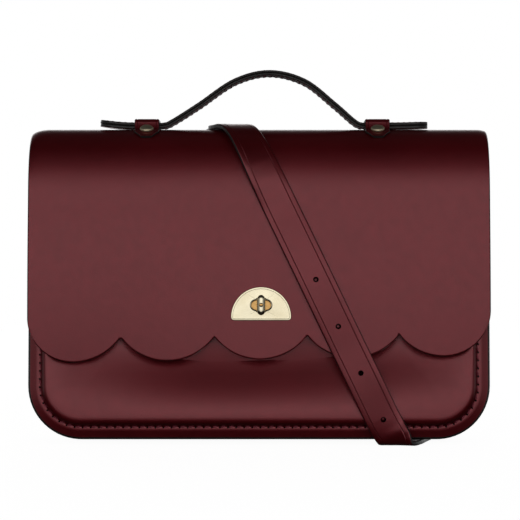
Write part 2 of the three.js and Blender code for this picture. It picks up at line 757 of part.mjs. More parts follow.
// From the left ring down the back and round the hanging fold, up to the crown.
const foldTurn = ringWire + clearance + halfStrap;
const ringPoint = (x, angle) => {
  const out = ringOut + foldTurn * Math.cos(angle * degrees);
  const up = -ringDrop + foldTurn * Math.sin(angle * degrees);
  return station(at3(0, out, up).applyMatrix4(onBack(x, ringHeight)), 1, 0, 0);
};
const underLayer = 3.4; // distances of the folded end's two layers from the back panel
const overLayer = 7.2;
const leftRun = [
  backStation(-118, 94, overLayer, 0.99, 0.12),
  backStation(-119, 104, overLayer, 0.99, 0.12),
  backStation(-121.6, 124, overLayer, 0.99, 0.12),
  backStation(-123.6, 140, overLayer, 0.99, 0.07),
  ...[0, 30, 60, 90, 120, 150, 180].map((angle) => ringPoint(-ringX, angle)),
  backStation(-123.6, 140, underLayer, 0.99, 0.07),
  backStation(-121, 119, underLayer, 0.99, 0.13),
  backStation(-117.6, 98, underLayer, 0.99, 0.12),
  backStation(-115.2, 80, underLayer, 0.99, 0.06),
  backStation(-113.8, 69, 3.9, 0.99, -0.04),
  backStation(-112.9, 62.6, 6, 0.98, -0.12),
  backStation(-112.3, 60, 9.6, 0.97, -0.2),
  backStation(-111.3, 62.6, 13.2, 0.95, -0.28),
  backStation(-108.6, 70, 15.6, 0.93, -0.36),
  backStation(-101.4, 88, 15.8, 0.91, -0.42),
  backStation(-86.4, 120, 13.2, 0.9, -0.43),
  backStation(-72, 150, 8.8, 0.9, -0.43),
  backStation(-57.6, 180, 4.2, 0.9, -0.43),
];

// Over the crown and down the front the strap follows the flap in a straight slanting line.
function crownRun() {
  const line = flapLine(strapLift, 70, 9);
  const length = [0];
  for (let i = 1; i < line.length; i++) {
    length.push(length[i - 1] + line[i].distanceTo(line[i - 1]));
  }
  const middle = (length[7] + length[8]) / 2;
  return line.map((p, i) => {
    const before = line[Math.max(i - 1, 0)];
    const after = line[Math.min(i + 1, line.length - 1)];
    const along = after.clone().sub(before).normalize();
    const x = strapTopX + (length[i] - middle) * strapSlope;
    return station(at3(x, p.x, p.y), 1, -strapSlope * along.x, -strapSlope * along.y);
  });
}

// Off the flap's edge, round under the bag, up its back, through the buckle to the pointed tip.
const frontX = (z) => 93 - (z - 10) * strapSlope;
const backOfBag = halfDepth(bagFloor) + panelThickness;
const rightRun = [
  station(at3(frontX(46), -49.1, 46), 1, 0, strapSlope),
  station(at3(frontX(24), -48.6, 24), 1, 0, strapSlope),
  station(at3(frontX(13), -48.1, 13), 1, -0.1, 0.46),
  station(at3(94, -47.7, 6.4), 1, -0.3, 0.2),
  station(at3(95.5, -45.6, 2.6), 1, -0.4, 0),
  station(at3(98.1, -40.6, strapRest), 1, -0.43, 0),
  station(at3(103.6, -27, strapRest), 1, -0.4, 0),
  station(at3(111.1, -6, strapRest), 1, -0.3, 0),
  station(at3(116, 14, strapRest), 1, -0.18, 0),
  station(at3(118.6, 30, strapRest), 1, -0.1, 0),
  station(at3(119.2, backOfBag - 3, strapRest), 1, -0.05, 0),
  station(at3(119.6, backOfBag + 2.1, 2.9), 1, -0.04, 0),
  station(at3(120, backOfBag + 4.3, 7.4), 1, -0.03, -0.05),
  backStation(120.8, 15, 4.2, 1, -0.08),
  backStation(122.6, 27, 2.8, 1, -0.07),
  backStation(124.4, 40, 2.5, 1, -0.04),
  backStation(ringX, ringHeight + tipBar, 2.5, 1, 0),
  backStation(ringX, ringHeight + tipBar + 6, 4.2, 1, 0),
  backStation(ringX, ringHeight + tipBar + 12, 7.4, 1, 0),
  backStation(ringX, ringHeight + heelBar - 4, 11.8, 1, 0),
  backStation(ringX, ringHeight + heelBar + 2, 12.7, 1, 0),
  backStation(ringX, ringHeight + heelBar + 9, 11.2, 1, 0),
  backStation(ringX, ringHeight + heelBar + 15, tailLayer, 1, 0),
  backStation(ringX, ringHeight + heelBar + 22, tailLayer, 1, 0),
  backStation(ringX, ringHeight + heelBar + 48, tailLayer, 1, 0),
];

function smooth(stations, perSpan) {
  const middle = new THREE.CatmullRomCurve3(stations.map((s) => s.place), false, "catmullrom", 0.5);
  const edge = new THREE.CatmullRomCurve3(
    stations.map((s) => s.place.clone().addScaledVector(s.across, strapWidth / 2)),
    false,
    "catmullrom",
    0.5
  );
  const steps = (stations.length - 1) * perSpan;
  const made = [];
  for (let i = 0; i <= steps; i++) {
    const place = middle.getPoint(i / steps);
    const across = edge.getPoint(i / steps).sub(place);
    place.z = Math.max(place.z, halfStrap);
    across.z *= Math.min((place.z - halfStrap) / strapThickness, 1); // level where it lies on the floor
    made.push({ place, across: across.normalize() });
  }
  return made;
}
const leftRivetPlace = onBack(-121.6, 124);
const prongFromTip = 62; // from the strap's tip to the hole that the prong is in
const strapStations = smooth([...leftRun, ...crownRun(), ...rightRun], 2);

// A frame on the strap at a distance back from its tip: local Z is the strap's own normal.
function strapFrame(fromTip) {
  let i = strapStations.length - 1;
  let left = fromTip;
  while (left > strapStations[i].place.distanceTo(strapStations[i - 1].place)) {
    left -= strapStations[i].place.distanceTo(strapStations[i - 1].place);
    i -= 1;
  }
  const [here, next] = [strapStations[i], strapStations[i - 1]];
  const along = next.place.clone().sub(here.place).normalize();
  const place = here.place.clone().addScaledVector(along, left);
  const across = here.across.clone().addScaledVector(along, -along.dot(here.across)).normalize();
  const out = at3(0, 0, 0).crossVectors(along, across);
  return new THREE.Matrix4().makeBasis(along, across, out).setPosition(place);
}

// Round holes a pitch apart, back along the strap from the one that the prong is in.
const holes = [];
for (let i = -1; i <= holeCount - 2; i++) {
  if (i !== 0) holes.push(punch(2, -8, 8).applyMatrix4(strapFrame(prongFromTip + i * holePitch)));
}
const prongHole = new THREE.BoxGeometry(prongWidth + 1, 30, 14).translate(0, 8, heelBar - 12).applyMatrix4(buckleSide);
const foldPunch = punch(rivetHole, -12, 12).applyMatrix4(outOfBackAt(0)).applyMatrix4(leftRivetPlace);
const strap = cut(ribbon(strapStations, strapWidth, strapThickness), ...holes, prongHole, foldPunch);
piece("strap_long", strap, strapLeather);

const leftRivet = foldRivet(underLayer - halfStrap, overLayer + halfStrap).applyMatrix4(outOfBackAt(0));
piece("strap_rivet_long", leftRivet.applyMatrix4(leftRivetPlace), paleGold);

export default bag;
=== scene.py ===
"""The looks of a leather satchel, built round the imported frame.
Lengths are millimetres until a piece is made."""
import math

import bmesh
import bpy
import numpy as np
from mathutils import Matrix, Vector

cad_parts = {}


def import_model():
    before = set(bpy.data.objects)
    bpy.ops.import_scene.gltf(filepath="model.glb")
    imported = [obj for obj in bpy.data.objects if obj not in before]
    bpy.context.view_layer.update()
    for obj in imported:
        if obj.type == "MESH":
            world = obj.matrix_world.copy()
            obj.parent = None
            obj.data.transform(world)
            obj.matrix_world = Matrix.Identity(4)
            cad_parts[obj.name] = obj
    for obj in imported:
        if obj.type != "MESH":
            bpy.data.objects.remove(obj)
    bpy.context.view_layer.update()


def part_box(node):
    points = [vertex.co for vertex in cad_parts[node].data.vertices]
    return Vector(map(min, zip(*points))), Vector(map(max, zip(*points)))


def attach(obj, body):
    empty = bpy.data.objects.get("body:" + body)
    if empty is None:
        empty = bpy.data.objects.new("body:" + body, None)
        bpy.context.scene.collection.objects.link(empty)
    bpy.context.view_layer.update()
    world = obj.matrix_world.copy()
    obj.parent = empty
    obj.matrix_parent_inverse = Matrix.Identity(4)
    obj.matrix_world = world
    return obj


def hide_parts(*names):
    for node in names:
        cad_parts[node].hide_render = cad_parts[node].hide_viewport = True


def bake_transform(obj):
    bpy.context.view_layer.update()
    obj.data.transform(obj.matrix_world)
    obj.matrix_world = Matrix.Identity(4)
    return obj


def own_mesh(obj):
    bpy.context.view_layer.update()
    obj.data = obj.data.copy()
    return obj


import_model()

MM = 0.001
GAP = 0.3  # between touching pieces, as in the frame


def cad_box(node):
    """The lowest and highest corner of a frame node, in millimetres."""
    return np.array(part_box(node)) / MM


# --- sizes, shared with the frame
FLOOR, PANEL_TOP = cad_box("front_panel")[:, 2]
HALF = cad_box("flap")[1][0]  # half the bag's width
CORNER = 38  # radius of the panels' lower corners
SHEET = 2.3  # the leather of the panels and the flap
BORDER, SEAM = 9, 8.8  # from a panel's edge to the gusset's wall and to the stitches
PILLOW = 6  # how far the front panel is blocked outwards
GUSSET = 2
BASE_DEPTH, TOP_DEPTH = 38, 27  # half the bag's depth at the floor and at the hinge
HINGE = 202.2
CROWN = 25  # radius of the flap's bend over the back panel
HANG, SWEEP, LOWEST = 46, 9.1, 58  # the flap's front: distance out at its lowest, backward sweep, and height
FRONT_START = HINGE + CROWN * math.sin(math.radians(7))
CUSP, SCALLOP, SCALLOPS = 78.4, 16.7, 5  # height of the cusps, depth and number of the scallops
SHIFT, SKEW = 1.3, 0.0166  # how far the inner scallops stand to the right, and the hem's slant
LEAN = math.atan((BASE_DEPTH - TOP_DEPTH) / (HINGE - FLOOR))
BACK_OUT = (0, 1, 0.055)  # square to the back panel
BACK_CENTRE = TOP_DEPTH + GAP / 2 + SHEET / 2 - CROWN
CROWN_TOP = HINGE + CROWN

HANDLE, LAYER, REACH = 20, 2.2, 117.5  # width, one layer's thickness, and half the length
LOOP_X, LOOP_WIDTH = 84, 18
HANDLE_X, HANDLE_Y = 2.3, -4.4  # the handle's middle
HANDLE_MIDDLE = CROWN_TOP + SHEET / 2 + GAP + LAYER + GAP / 2

STRAP, STRAP_THICK, SHORT_THICK = 25, 3.4, 2.2
SLOPE, STRAP_TOP_X = 0.48, -23.2  # the strap's slant over the flap, and where it crosses the crown
RING_X, RING_Z, RING_WIRE, RING_OUT, RING_DROP = 125, 172, 1.6, 6.4, 19
BUCKLE_WIRE, BUCKLE_OUT, HEEL, TIP = 1.5, 6.2, -85, -109  # heights are from the ring's upper bar
NEAR_LAYER, FAR_LAYER, TAIL_LAYER = 3.6, 6.2, 9.3  # leather over the back panel, distance out
END_RIVET = -29
PITCH = 5.8  # of the stitches
SCALLOP_WIDTH = 2 * HALF / SCALLOPS
LOCK_X, LOCK_Z = 1.5, 100.7


def depth(z):
    """Half the bag's depth at a height, out to the seam."""
    return BASE_DEPTH - (z - FLOOR) * math.tan(LEAN)


# --- lines
def arc(cx, cy, radius, start, end, steps):
    angles = np.radians(np.linspace(start, end, steps + 1))
    return np.stack([cx + radius * np.cos(angles), cy + radius * np.sin(angles)], axis=1)


def unit(v):
    return v / np.maximum(np.linalg.norm(v, axis=-1, keepdims=True), 1e-9)


def headings(points, closed=False):
    """The direction of travel at each point of a line."""
    if closed:
        return unit(np.roll(points, -1, axis=0) - np.roll(points, 1, axis=0))
    return unit(np.gradient(points, axis=0))


def lengths(points):
    return np.concatenate([[0], np.cumsum(np.linalg.norm(np.diff(points, axis=0), axis=1))])


def sampled(values, run, at):
    """The rows of values at other distances than those of run, where they are known."""
    return np.stack([np.interp(at, run, column) for column in np.transpose(values)], axis=-1)


def spaced(points, count):
    """The same line with evenly spaced points."""
    run = lengths(points)
    return sampled(points, run, np.linspace(0, run[-1], count))


def smooth(points, steps):
    """A Catmull-Rom curve through the points, with this many steps from one to the next."""
    points = np.asarray(points, float)
    p = np.vstack([2 * points[0] - points[1], points, 2 * points[-1] - points[-2]])
    t = (np.arange(steps) / steps)[:, None]
    spans = [
        0.5 * (2 * b + (c - a) * t + (2 * a - 5 * b + 4 * c - d) * t**2 + (3 * b - a - 3 * c + d) * t**3)
        for a, b, c, d in zip(p, p[1:], p[2:], p[3:])
    ]
    return np.vstack([*spans, points[-1:]])


def bezier(a, b, c, d, steps):
    t = np.linspace(0, 1, steps + 1)[:, None]
    return (1 - t) ** 3 * a + 3 * (1 - t) ** 2 * t * b + 3 * (1 - t) * t**2 * c + t**3 * d


def thicken(line, thick, ends=4):
    """A closed outline of even thickness round an open flat line, with rounded ends."""
    along = headings(line)
    side = np.stack([-along[:, 1], along[:, 0]], axis=1) * thick / 2
    turns = []
    for tip, way in ((line[-1], along[-1]), (line[0], -along[0])):
        facing = math.degrees(math.atan2(way[1], way[0]))
        turns.append(arc(*tip, thick / 2, facing + 90, facing - 90, ends)[1:-1])
    return np.vstack([line + side, turns[0], (line - side)[::-1], turns[1]])


def round_box(half, low, high, bend, steps):
    """A rectangle with round corners, as (across, up) points."""
    right, left, top, bottom = half - bend, bend - half, high - bend, low + bend
    corners = ((right, top), (left, top), (left, bottom), (right, bottom))
    return np.vstack([arc(*corner, bend, 90 * i, 90 * i + 90, steps) for i, corner in enumerate(corners)])


def level(points, height):
    """Flat points with one more coordinate, the same for all."""
    return np.column_stack([points, np.full(len(points), height)])


def stadium(length, height, steps=12):
    half = (length - height) / 2
    return np.vstack([arc(half, 0, height / 2, -90, 90, steps), arc(-half, 0, height / 2, 90, 270, steps)])


# --- places
def place_at(origin, out, right):
    """Turns local (right, up, out) points into the bag's own, round an origin."""
    out = unit(np.asarray(out, float))
    right = np.asarray(right, float)
    right = unit(right - out * (out @ right))
    axes = np.stack([right, np.cross(out, right), out])
    return lambda p: np.asarray(origin, float) + np.asarray(p, float) @ axes


def on_back(x, height):
    """Local (right, up, out) round a point of the back panel's outer face. Right is the bag's own +X."""
    y = depth(height) + GAP / 2 + SHEET
    out = np.array([0, math.cos(LEAN), math.sin(LEAN)])
    up = np.array([0, -math.sin(LEAN), math.cos(LEAN)])
    axes = np.stack([[1, 0, 0], up, out])
    return lambda p: np.array([x, y, height]) + np.asarray(p, float) @ axes


def raised(place, up):
    """The same place, moved up along itself."""
    return lambda p: place(np.asarray(p, float) + [0, up, 0])


def front_y(z):
    """The middle of the flap's front, from its lowest point up to the bend."""
    share = (z - LOWEST) / (FRONT_START - LOWEST)
    return -(HANG - SWEEP * share**2)


LOCK_TILT = math.atan(2 * SWEEP * (LOCK_Z - LOWEST) / (FRONT_START - LOWEST) ** 2)
LOCK_OUT = (0, -math.cos(LOCK_TILT), math.sin(LOCK_TILT))
AT_LOCK = place_at((LOCK_X, front_y(LOCK_Z), LOCK_Z), LOCK_OUT, (1, 0, 0))


# --- meshes
class Shape:
    """Gathers points and faces, in millimetres, and then makes them one object."""

    def __init__(self):
        self.points, self.faces, self.finishes, self.count = [], [], [], 0

    def add(self, points, faces, finish=0):
        self.points.append(np.asarray(points, float).reshape(-1, 3))
        self.faces += (np.asarray(faces) + self.count).tolist()
        self.finishes += [finish] * len(faces) if np.isscalar(finish) else list(finish)
        self.count += len(self.points[-1])

    def skin(self, rings, finish=0, closed=False, around=True, ends=True):
        """Joins rings of points. closed joins the last to the first, around closes each ring.
        finish is one number, or one for each span of a ring."""
        rings = np.asarray(rings, float)
        rows, cols = rings.shape[:2]
        r = np.arange(rows if closed else rows - 1)[:, None]
        c = np.arange(cols if around else cols - 1)[None, :]
        after, beside = (r + 1) % rows, (c + 1) % cols
        quads = np.stack([r * cols + c, r * cols + beside, after * cols + beside, after * cols + c], axis=2)
        spans = np.broadcast_to(finish, (c.size,))
        self.add(rings, quads.reshape(-1, 4), np.tile(spans, r.size))
        if around and ends and not closed:
            start = self.count - rows * cols
            self.faces += [[start + i for i in range(cols)][::-1]]
            self.faces += [[start + (rows - 1) * cols + i for i in range(cols)]]
            self.finishes += [int(spans[0])] * 2 if ends is True else [ends - 1] * 2

    def bare(self, name, materials):
        """The object alone, which isn't yet a piece of the bag."""
        mesh = bpy.data.meshes.new(name)
        mesh.from_pydata((np.vstack(self.points) * MM).tolist(), [], self.faces)
        mesh.polygons.foreach_set("material_index", self.finishes)
        tidy_mesh(mesh)
        for material in materials:
            mesh.materials.append(material)
        made = bpy.data.objects.new(name, mesh)
        bpy.context.scene.collection.objects.link(made)
        return made

    def make(self, name, materials, slot, body=None, replaces=None, sharp=40):
        """A piece of the bag. It replaces the frame's node of its own name unless told otherwise."""
        piece = self.bare(name, materials)
        piece.data.polygons.foreach_set("use_smooth", [True] * len(piece.data.polygons))
        piece.data.set_sharp_from_angle(angle=math.radians(sharp))
        replaces = (name,) if replaces is None else replaces
        if replaces:
            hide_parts(*replaces)
        if body:
            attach(piece, body)
        return piece


def tidy_mesh(mesh):
    """Joins points that coincide, and turns every face outwards."""
    bm = bmesh.new()
    bm.from_mesh(mesh)
    bmesh.ops.remove_doubles(bm, verts=bm.verts, dist=1e-7)
    bmesh.ops.recalc_face_normals(bm, faces=bm.faces)
    bm.to_mesh(mesh)
    bm.free()


def cut(piece, *cutters):
    """Takes the cutters away from a piece, and deletes them."""
    for tool in cutters:
        hole = piece.modifiers.new("hole", "BOOLEAN")
        hole.object, hole.operation, hole.solver = tool, "DIFFERENCE", "EXACT"
        # the cut walls take the cutter's material; for punched holes that is near-black painted shade
        hole.material_mode = "TRANSFER"
    settle(piece)
    for tool in cutters:
        bpy.data.meshes.remove(tool.data)
    piece.data.set_sharp_from_angle(angle=math.radians(40))


def settle(piece):
    """Applies a piece's modifiers."""
    bpy.context.view_layer.update()
    seen = piece.evaluated_get(bpy.context.evaluated_depsgraph_get())
    mesh = bpy.data.meshes.new_from_object(seen)
    piece.modifiers.clear()
    piece.data = mesh


def cutter(outline, place, low, high, material):
    """A prism with a flat outline, from low to high along the place's own normal."""
    shape = Shape()
    shape.skin(place([level(outline, out) for out in (low, high)]))
    return shape.bare("cutter", [material])


def slab(shape, face, back, finish_face, finish_back, finish_rim):
    """A closed sheet between two grids of points of the same size."""
    face, back = np.asarray(face, float), np.asarray(back, float)
    shape.skin(face, finish_face, around=False)
    shape.skin(back, finish_back, around=False)
    rim = [np.vstack([g[0], g[1:, -1], g[-1, -2::-1], g[-2:0:-1, 0]]) for g in (face, back)]
    shape.skin(rim, finish_rim, ends=False)


def strap_section(width, thick, crease=0, bevel=1.0):
    """A strap cut across: (across, out) points, and the finish of each span.
    The finishes are 0 for the outer face, 1 for the painted edges and 2 for the back."""
    half, r = width / 2, min(bevel, thick / 2 - 0.05)
    top = [(r - half, 0), (half - r, 0)]
    if crease:  # a narrow groove near each edge, with points beside it that keep the face flat
        groove = ((-0.7, 0), (-0.35, 0), (0, 0.3), (0.35, 0), (0.7, 0))
        top[1:1] = [(x + step, deep) for x in (crease - half, half - crease) for step, deep in groove]
    top = [(x, thick / 2 - deep) for x, deep in top]
    right = np.vstack([
        arc(half - r, thick / 2 - r, r, 90, 0, 4)[1:],
        arc(half - r, -thick / 2 + r, r, 0, -90, 4),
    ])
    section = np.vstack([top, right, [[0, -thick / 2]], (right * [-1, 1])[::-1]])
    finish = [0] * (len(top) + 1) + [1] * (len(right) - 2) + [2] * 2 + [1] * (len(right) - 2) + [0] * 2
    return section, finish[: len(section)]


def ribbon(shape, middle, across, width, thick, crease=0, taper=1.0, finishes=(0, 1, 2)):
    """A strap along a line of points, with the direction across it. taper narrows each station."""
    along = headings(middle)
    across = np.broadcast_to(across, middle.shape)
    across = unit(across - along * np.sum(across * along, axis=1, keepdims=True))
    section, finish = strap_section(width, thick, crease)
    wide = np.broadcast_to(taper, (len(middle),))
    rings = [
        m + np.outer(section[:, 0] * w, a) + np.outer(section[:, 1], o)
        for m, a, o, w in zip(middle, across, np.cross(along, across), wide)
    ]
    shape.skin(rings, [finishes[f] for f in finish], ends=2)


def wire(shape, path, radius, normal, closed=False, sides=20, finish=0):
    """A round wire along a path. normal is any direction that the path doesn't run along."""
    along = headings(path, closed)
    side = unit(np.cross(normal, along))
    top = np.cross(along, side)
    turn = np.radians(np.arange(sides) * 360 / sides)
    cos, sin = radius * np.cos(turn), radius * np.sin(turn)
    rings = [p + np.outer(cos, s) + np.outer(sin, t) for p, s, t in zip(path, side, top)]
    shape.skin(rings, finish, closed=closed)


def lathe(shape, profile, place):
    """Turns a profile of (radius, height) round the place's own normal."""
    turn = np.radians(np.arange(48) * 360 / 48)
    circle = np.column_stack([np.cos(turn), np.sin(turn)])
    shape.skin(place([level(r * circle, height) for r, height in profile]))


def stitches(shape, path, normal, length, radius, slant, pitch=PITCH, hole=0):
    """A row of stitches along a line on a surface: short rounded bars that dip in at both ends.
    hole is the radius of a near-black cone of painted shade that stands for the awl hole the thread dips
    into."""
    run = lengths(path)
    count = max(int(round(run[-1] / pitch)), 1)
    at = (np.arange(count) + 0.5) * run[-1] / count
    along = unit(sampled(headings(path), run, at))
    normal = unit(sampled(np.broadcast_to(normal, path.shape), run, at))
    side = np.cross(normal, along)
    lean = math.radians(slant)
    way = along * math.cos(lean) + side * math.sin(lean)
    over = np.cross(normal, way)
    turn = np.radians(np.arange(8) * 45)
    for centre, w, o, n in zip(sampled(path, run, at), way, over, normal):
        rings = []
        for step in np.linspace(-1, 1, 7):
            r = radius * math.sqrt(max(1 - abs(step) ** 3, 0.02))
            middle = centre + w * step * length / 2 + n * radius * (0.35 - 0.9 * step**4)
            rings.append(middle + np.outer(r * np.cos(turn), o) + np.outer(r * 0.8 * np.sin(turn), n))
        shape.skin(rings)
        # each stitch's end gets a near-black cone of painted shade where its awl hole would lie in shadow
        if hole:
            end = centre - w * (length / 2 + 0.45)
            disc = np.outer(np.cos(turn), w) + np.outer(np.sin(turn), o)
            cone = ((hole, -0.3), (hole, 0.07), (0.1, 0.09))
            shape.skin([end + reach * disc + up * n for reach, up in cone], 1)


# --- materials
def nodes_of(name, values):
    """A new material, its tree and its shader, with fixed values on some of the shader's own sockets."""
    material = bpy.data.materials.new(name)
    material.use_nodes = True
    tree = material.node_tree
    shader = next(n for n in tree.nodes if n.type == "BSDF_PRINCIPLED")
    for socket, value in values.items():
        shader.inputs[socket].default_value = value
    return material, tree, shader


def noise(tree, scale, detail=3, stretch=None):
    """A noise over the object's own coordinates; scale is in cells for each metre."""
    where = tree.nodes.new("ShaderNodeTexCoord").outputs["Object"]
    if stretch:
        mapping = tree.nodes.new("ShaderNodeMapping")
        mapping.inputs["Scale"].default_value = stretch
        tree.links.new(where, mapping.inputs["Vector"])
        where = mapping.outputs["Vector"]
    made = tree.nodes.new("ShaderNodeTexNoise")
    made.inputs["Scale"].default_value = scale
    made.inputs["Detail"].default_value = detail
    tree.links.new(where, made.inputs["Vector"])
    return made.outputs["Fac"]


def pebbles(tree, scale):
    where = tree.nodes.new("ShaderNodeTexCoord").outputs["Object"]
    made = tree.nodes.new("ShaderNodeTexVoronoi")
    made.inputs["Scale"].default_value = scale
    tree.links.new(where, made.inputs["Vector"])
    return made.outputs["Distance"]


def spread(tree, value, low, high, start=0.3, end=0.7):
    """Maps a value from start..end to low..high, which are numbers or colours."""
    if np.isscalar(low):
        made = tree.nodes.new("ShaderNodeMapRange")
        for socket, number in zip(("From Min", "From Max", "To Min", "To Max"), (start, end, low, high)):
            made.inputs[socket].default_value = number
        tree.links.new(value, made.inputs["Value"])
        return made.outputs["Result"]
    made = tree.nodes.new("ShaderNodeValToRGB")
    for stop, place, colour in zip(made.color_ramp.elements, (start, end), (low, high)):
        stop.position, stop.color = place, (*colour, 1)
    tree.links.new(value, made.inputs["Fac"])
    return made.outputs["Color"]


def bumps(tree, shader, *layers):
    """Stacks bump layers: each is a height and its depth in millimetres."""
    normal = None
    for height, deep in layers:
        bump = tree.nodes.new("ShaderNodeBump")
        bump.inputs["Distance"].default_value = deep * MM
        tree.links.new(height, bump.inputs["Height"])
        if normal:
            tree.links.new(normal, bump.inputs["Normal"])
        normal = bump.outputs["Normal"]
    tree.links.new(normal, shader.inputs["Normal"])


def vary(tree, shader, socket, value, low, high, *limits):
    """Lets a noise move one of the shader's sockets between two values."""
    tree.links.new(spread(tree, value, low, high, *limits), shader.inputs[socket])


def leather(name, dark, light, rough=(0.31, 0.40)):
    """Smooth dyed hide under a waxy finish: a cloudy colour, fine pores and a clear top coat."""
    coat = {"Coat Weight": 0.58, "Coat Roughness": 0.24, "Coat IOR": 1.5}
    material, tree, shader = nodes_of(name, {"IOR": 1.9, "Specular Tint": (1, 0.10, 0.14, 1), **coat})
    vary(tree, shader, "Base Color", noise(tree, 26, 4), dark, light, 0.32, 0.7)
    vary(tree, shader, "Roughness", noise(tree, 190), *rough)
    bumps(tree, shader, (pebbles(tree, 2300), 0.03), (noise(tree, 900, 4), 0.05), (noise(tree, 110, 2), 0.10))
    return material


def edge_paint():
    """Charcoal edge dressing, laid on thick and burnished."""
    material, tree, shader = nodes_of("edge_paint", {})
    vary(tree, shader, "Base Color", noise(tree, 300), (0.012, 0.010, 0.009), (0.024, 0.021, 0.019))
    vary(tree, shader, "Roughness", noise(tree, 500, 2), 0.36, 0.52)
    bumps(tree, shader, (noise(tree, 700), 0.06))
    return material


def painted_hole_shade():
    """Painted shade: a near-black matt colour for the inside of a stitch hole or a punched hole."""
    matt = {"Roughness": 1, "Specular IOR Level": 0}
    return nodes_of("painted_hole_shade", {"Base Color": (0.006, 0.0015, 0.0018, 1), **matt})[0]


def suede(name, dark, light):
    """The flesh side of the hide: matt, napped and streaky."""
    material, tree, shader = nodes_of(name, {"Roughness": 0.92, "Sheen Weight": 0.35, "Sheen Roughness": 0.5})
    vary(tree, shader, "Base Color", noise(tree, 140, 5), dark, light)
    bumps(tree, shader, (noise(tree, 2600, 4), 0.12), (noise(tree, 420), 0.14))
    return material


def thread():
    """Waxed linen thread, with a fine twist."""
    material, tree, shader = nodes_of("thread", {"Roughness": 0.8, "Specular IOR Level": 0.2})
    vary(tree, shader, "Base Color", noise(tree, 700, 2), (0.17, 0.024, 0.038), (0.26, 0.050, 0.072))
    bumps(tree, shader, (noise(tree, 2200, 1, (1, 1, 2.5)), 0.12))
    return material


def polished(name, colour, worn, rough, grain=(1, 1, 1)):
    """Plated metal with faint polishing marks."""
    material, tree, shader = nodes_of(name, {"Metallic": 1})
    vary(tree, shader, "Base Color", noise(tree, 60), colour, worn, 0.4, 0.75)
    vary(tree, shader, "Roughness", noise(tree, 420, 3, grain), *rough)
    bumps(tree, shader, (noise(tree, 1500, 2, grain), 0.006))
    return material


BURGUNDY = leather("burgundy_hide", (0.062, 0.0018, 0.0032), (0.080, 0.0028, 0.0048))
STRAP_HIDE = leather("strap_hide", (0.056, 0.0016, 0.0030), (0.072, 0.0026, 0.0044), (0.28, 0.36))
EDGE = edge_paint()
HOLE_SHADE = painted_hole_shade()
FLESH = suede("flesh_side", (0.052, 0.014, 0.014), (0.085, 0.026, 0.024))
STRAP_BACK = suede("strap_back", (0.030, 0.007, 0.008), (0.048, 0.012, 0.013))
POCKET_SUEDE = suede("pocket_suede", (0.085, 0.030, 0.026), (0.13, 0.05, 0.043))
THREAD = thread()
GOLD = polished("pale_gold", (0.72, 0.65, 0.47), (0.64, 0.56, 0.38), (0.12, 0.20))
BRUSHED = polished("brushed_gold", (0.80, 0.72, 0.52), (0.70, 0.60, 0.40), (0.36, 0.46))
BRASS = polished("brass", (0.58, 0.34, 0.12), (0.46, 0.26, 0.09), (0.16, 0.26))
STEEL = polished("washer_steel", (0.62, 0.60, 0.57), (0.50, 0.48, 0.46), (0.26, 0.38), (1, 1, 12))
HIDE = [BURGUNDY, EDGE, FLESH]
STRAP_HIDES = [STRAP_HIDE, EDGE, STRAP_BACK]


def rivet(name, place, foot, seat, radius, rise, body=None, metal=GOLD):
    """A rivet: a foot of (radius, height) points behind the leather, and a domed head on its seat."""
    turn = np.radians(range(0, 90, 9))
    dome = [(radius * math.cos(a), seat + rise * (0.3 + 0.7 * math.sin(a))) for a in turn]
    head = [(1.4, seat), (radius * 0.94, seat), (radius, seat + rise * 0.1), *dome, (0, seat + rise)]
    shape = Shape()
    lathe(shape, [*foot, *head], place)
    return shape.make(name, [metal], "pale_gold", body)


def flat_foot(low):
    return [(0, low - 0.9), (3.4, low - 0.9), (3.4, low), (1.5, low)]


def strap_rivet(name, place, near, far, thick):
    """A rivet through two layers of strap, whose middles are near and far from the back panel."""
    near, far = near - thick / 2, far + thick / 2
    foot = [(0, near - 0.9), (3.3, near - 0.9), (3.6, near - 0.3), (1.5, near - 0.2), (1.5, far)]
    return rivet(name, place, foot, far + 0.1, 3.8, 1.8)


# --- panels and gusset
def panel_outline(inset, top, top_radius, steps=20):
    """The edge of a panel, drawn inwards by an inset, as (x, z).
    Every inset gives the same number of points."""
    right, low, high = HALF - inset, FLOOR + inset, top - inset
    lower, upper = max(CORNER - inset, 2), max(top_radius - inset, 1)
    corners = [
        arc(right - lower, low + lower, lower, -90, 0, steps),
        arc(right - upper, high - upper, upper, 0, 90, 6),
        arc(-right + upper, high - upper, upper, 90, 180, 6),
        arc(-right + lower, low + lower, lower, 180, 270, steps),
    ]
    sides = []
    for corner, after in zip(corners, corners[1:] + corners[:1]):
        sides += [corner, spaced(np.array([corner[-1], after[0]]), 14)[1:-1]]
    return np.vstack(sides)


def edge_drop(inset):
    """How far the seam border bends back towards the gusset's middle, from the stitches to the edge."""
    return 3.1 * np.clip(1 - inset / (SEAM + 0.4), 0, 1)


def blocked(inset):
    """How far the front panel stands proud of its border: a steep shoulder and then nearly flat."""
    return PILLOW * (1 - np.exp(-np.clip(inset - BORDER - 0.6, 0, None) / 1.3))


def hollow(x, z):
    """How far the front panel falls back behind the flap's hem, most in the middle."""
    middle = np.cos(np.clip(x / HALF, -1, 1) * math.pi / 2)
    rise = np.clip((z - 28 + 8 * middle) / 114, 0, 1)
    lock = 1 - np.exp(-((x - LOCK_X) ** 2 + (z - LOCK_Z) ** 2) / 22**2)
    return lock * (4 + 7.5 * middle) * np.sin(math.pi * rise) ** 2


def slack(x, z):
    """The shallow unevenness of a large piece of hide, flat at the lock."""
    away = 1 - np.exp(-((x - LOCK_X) ** 2 + (z - LOCK_Z) ** 2) / 45**2)
    return away * (0.5 * np.sin(x / 47 + 0.6) * np.sin(z / 39 + 1.1) + 0.3 * np.sin(x / 23 - z / 61 + 2.0))


def flap_wave(x, z):
    """How far the flap's front stands proud of its even shape."""
    return np.clip((205 - z) / 60, 0, 1) * slack(x * 0.8, z) * 0.9


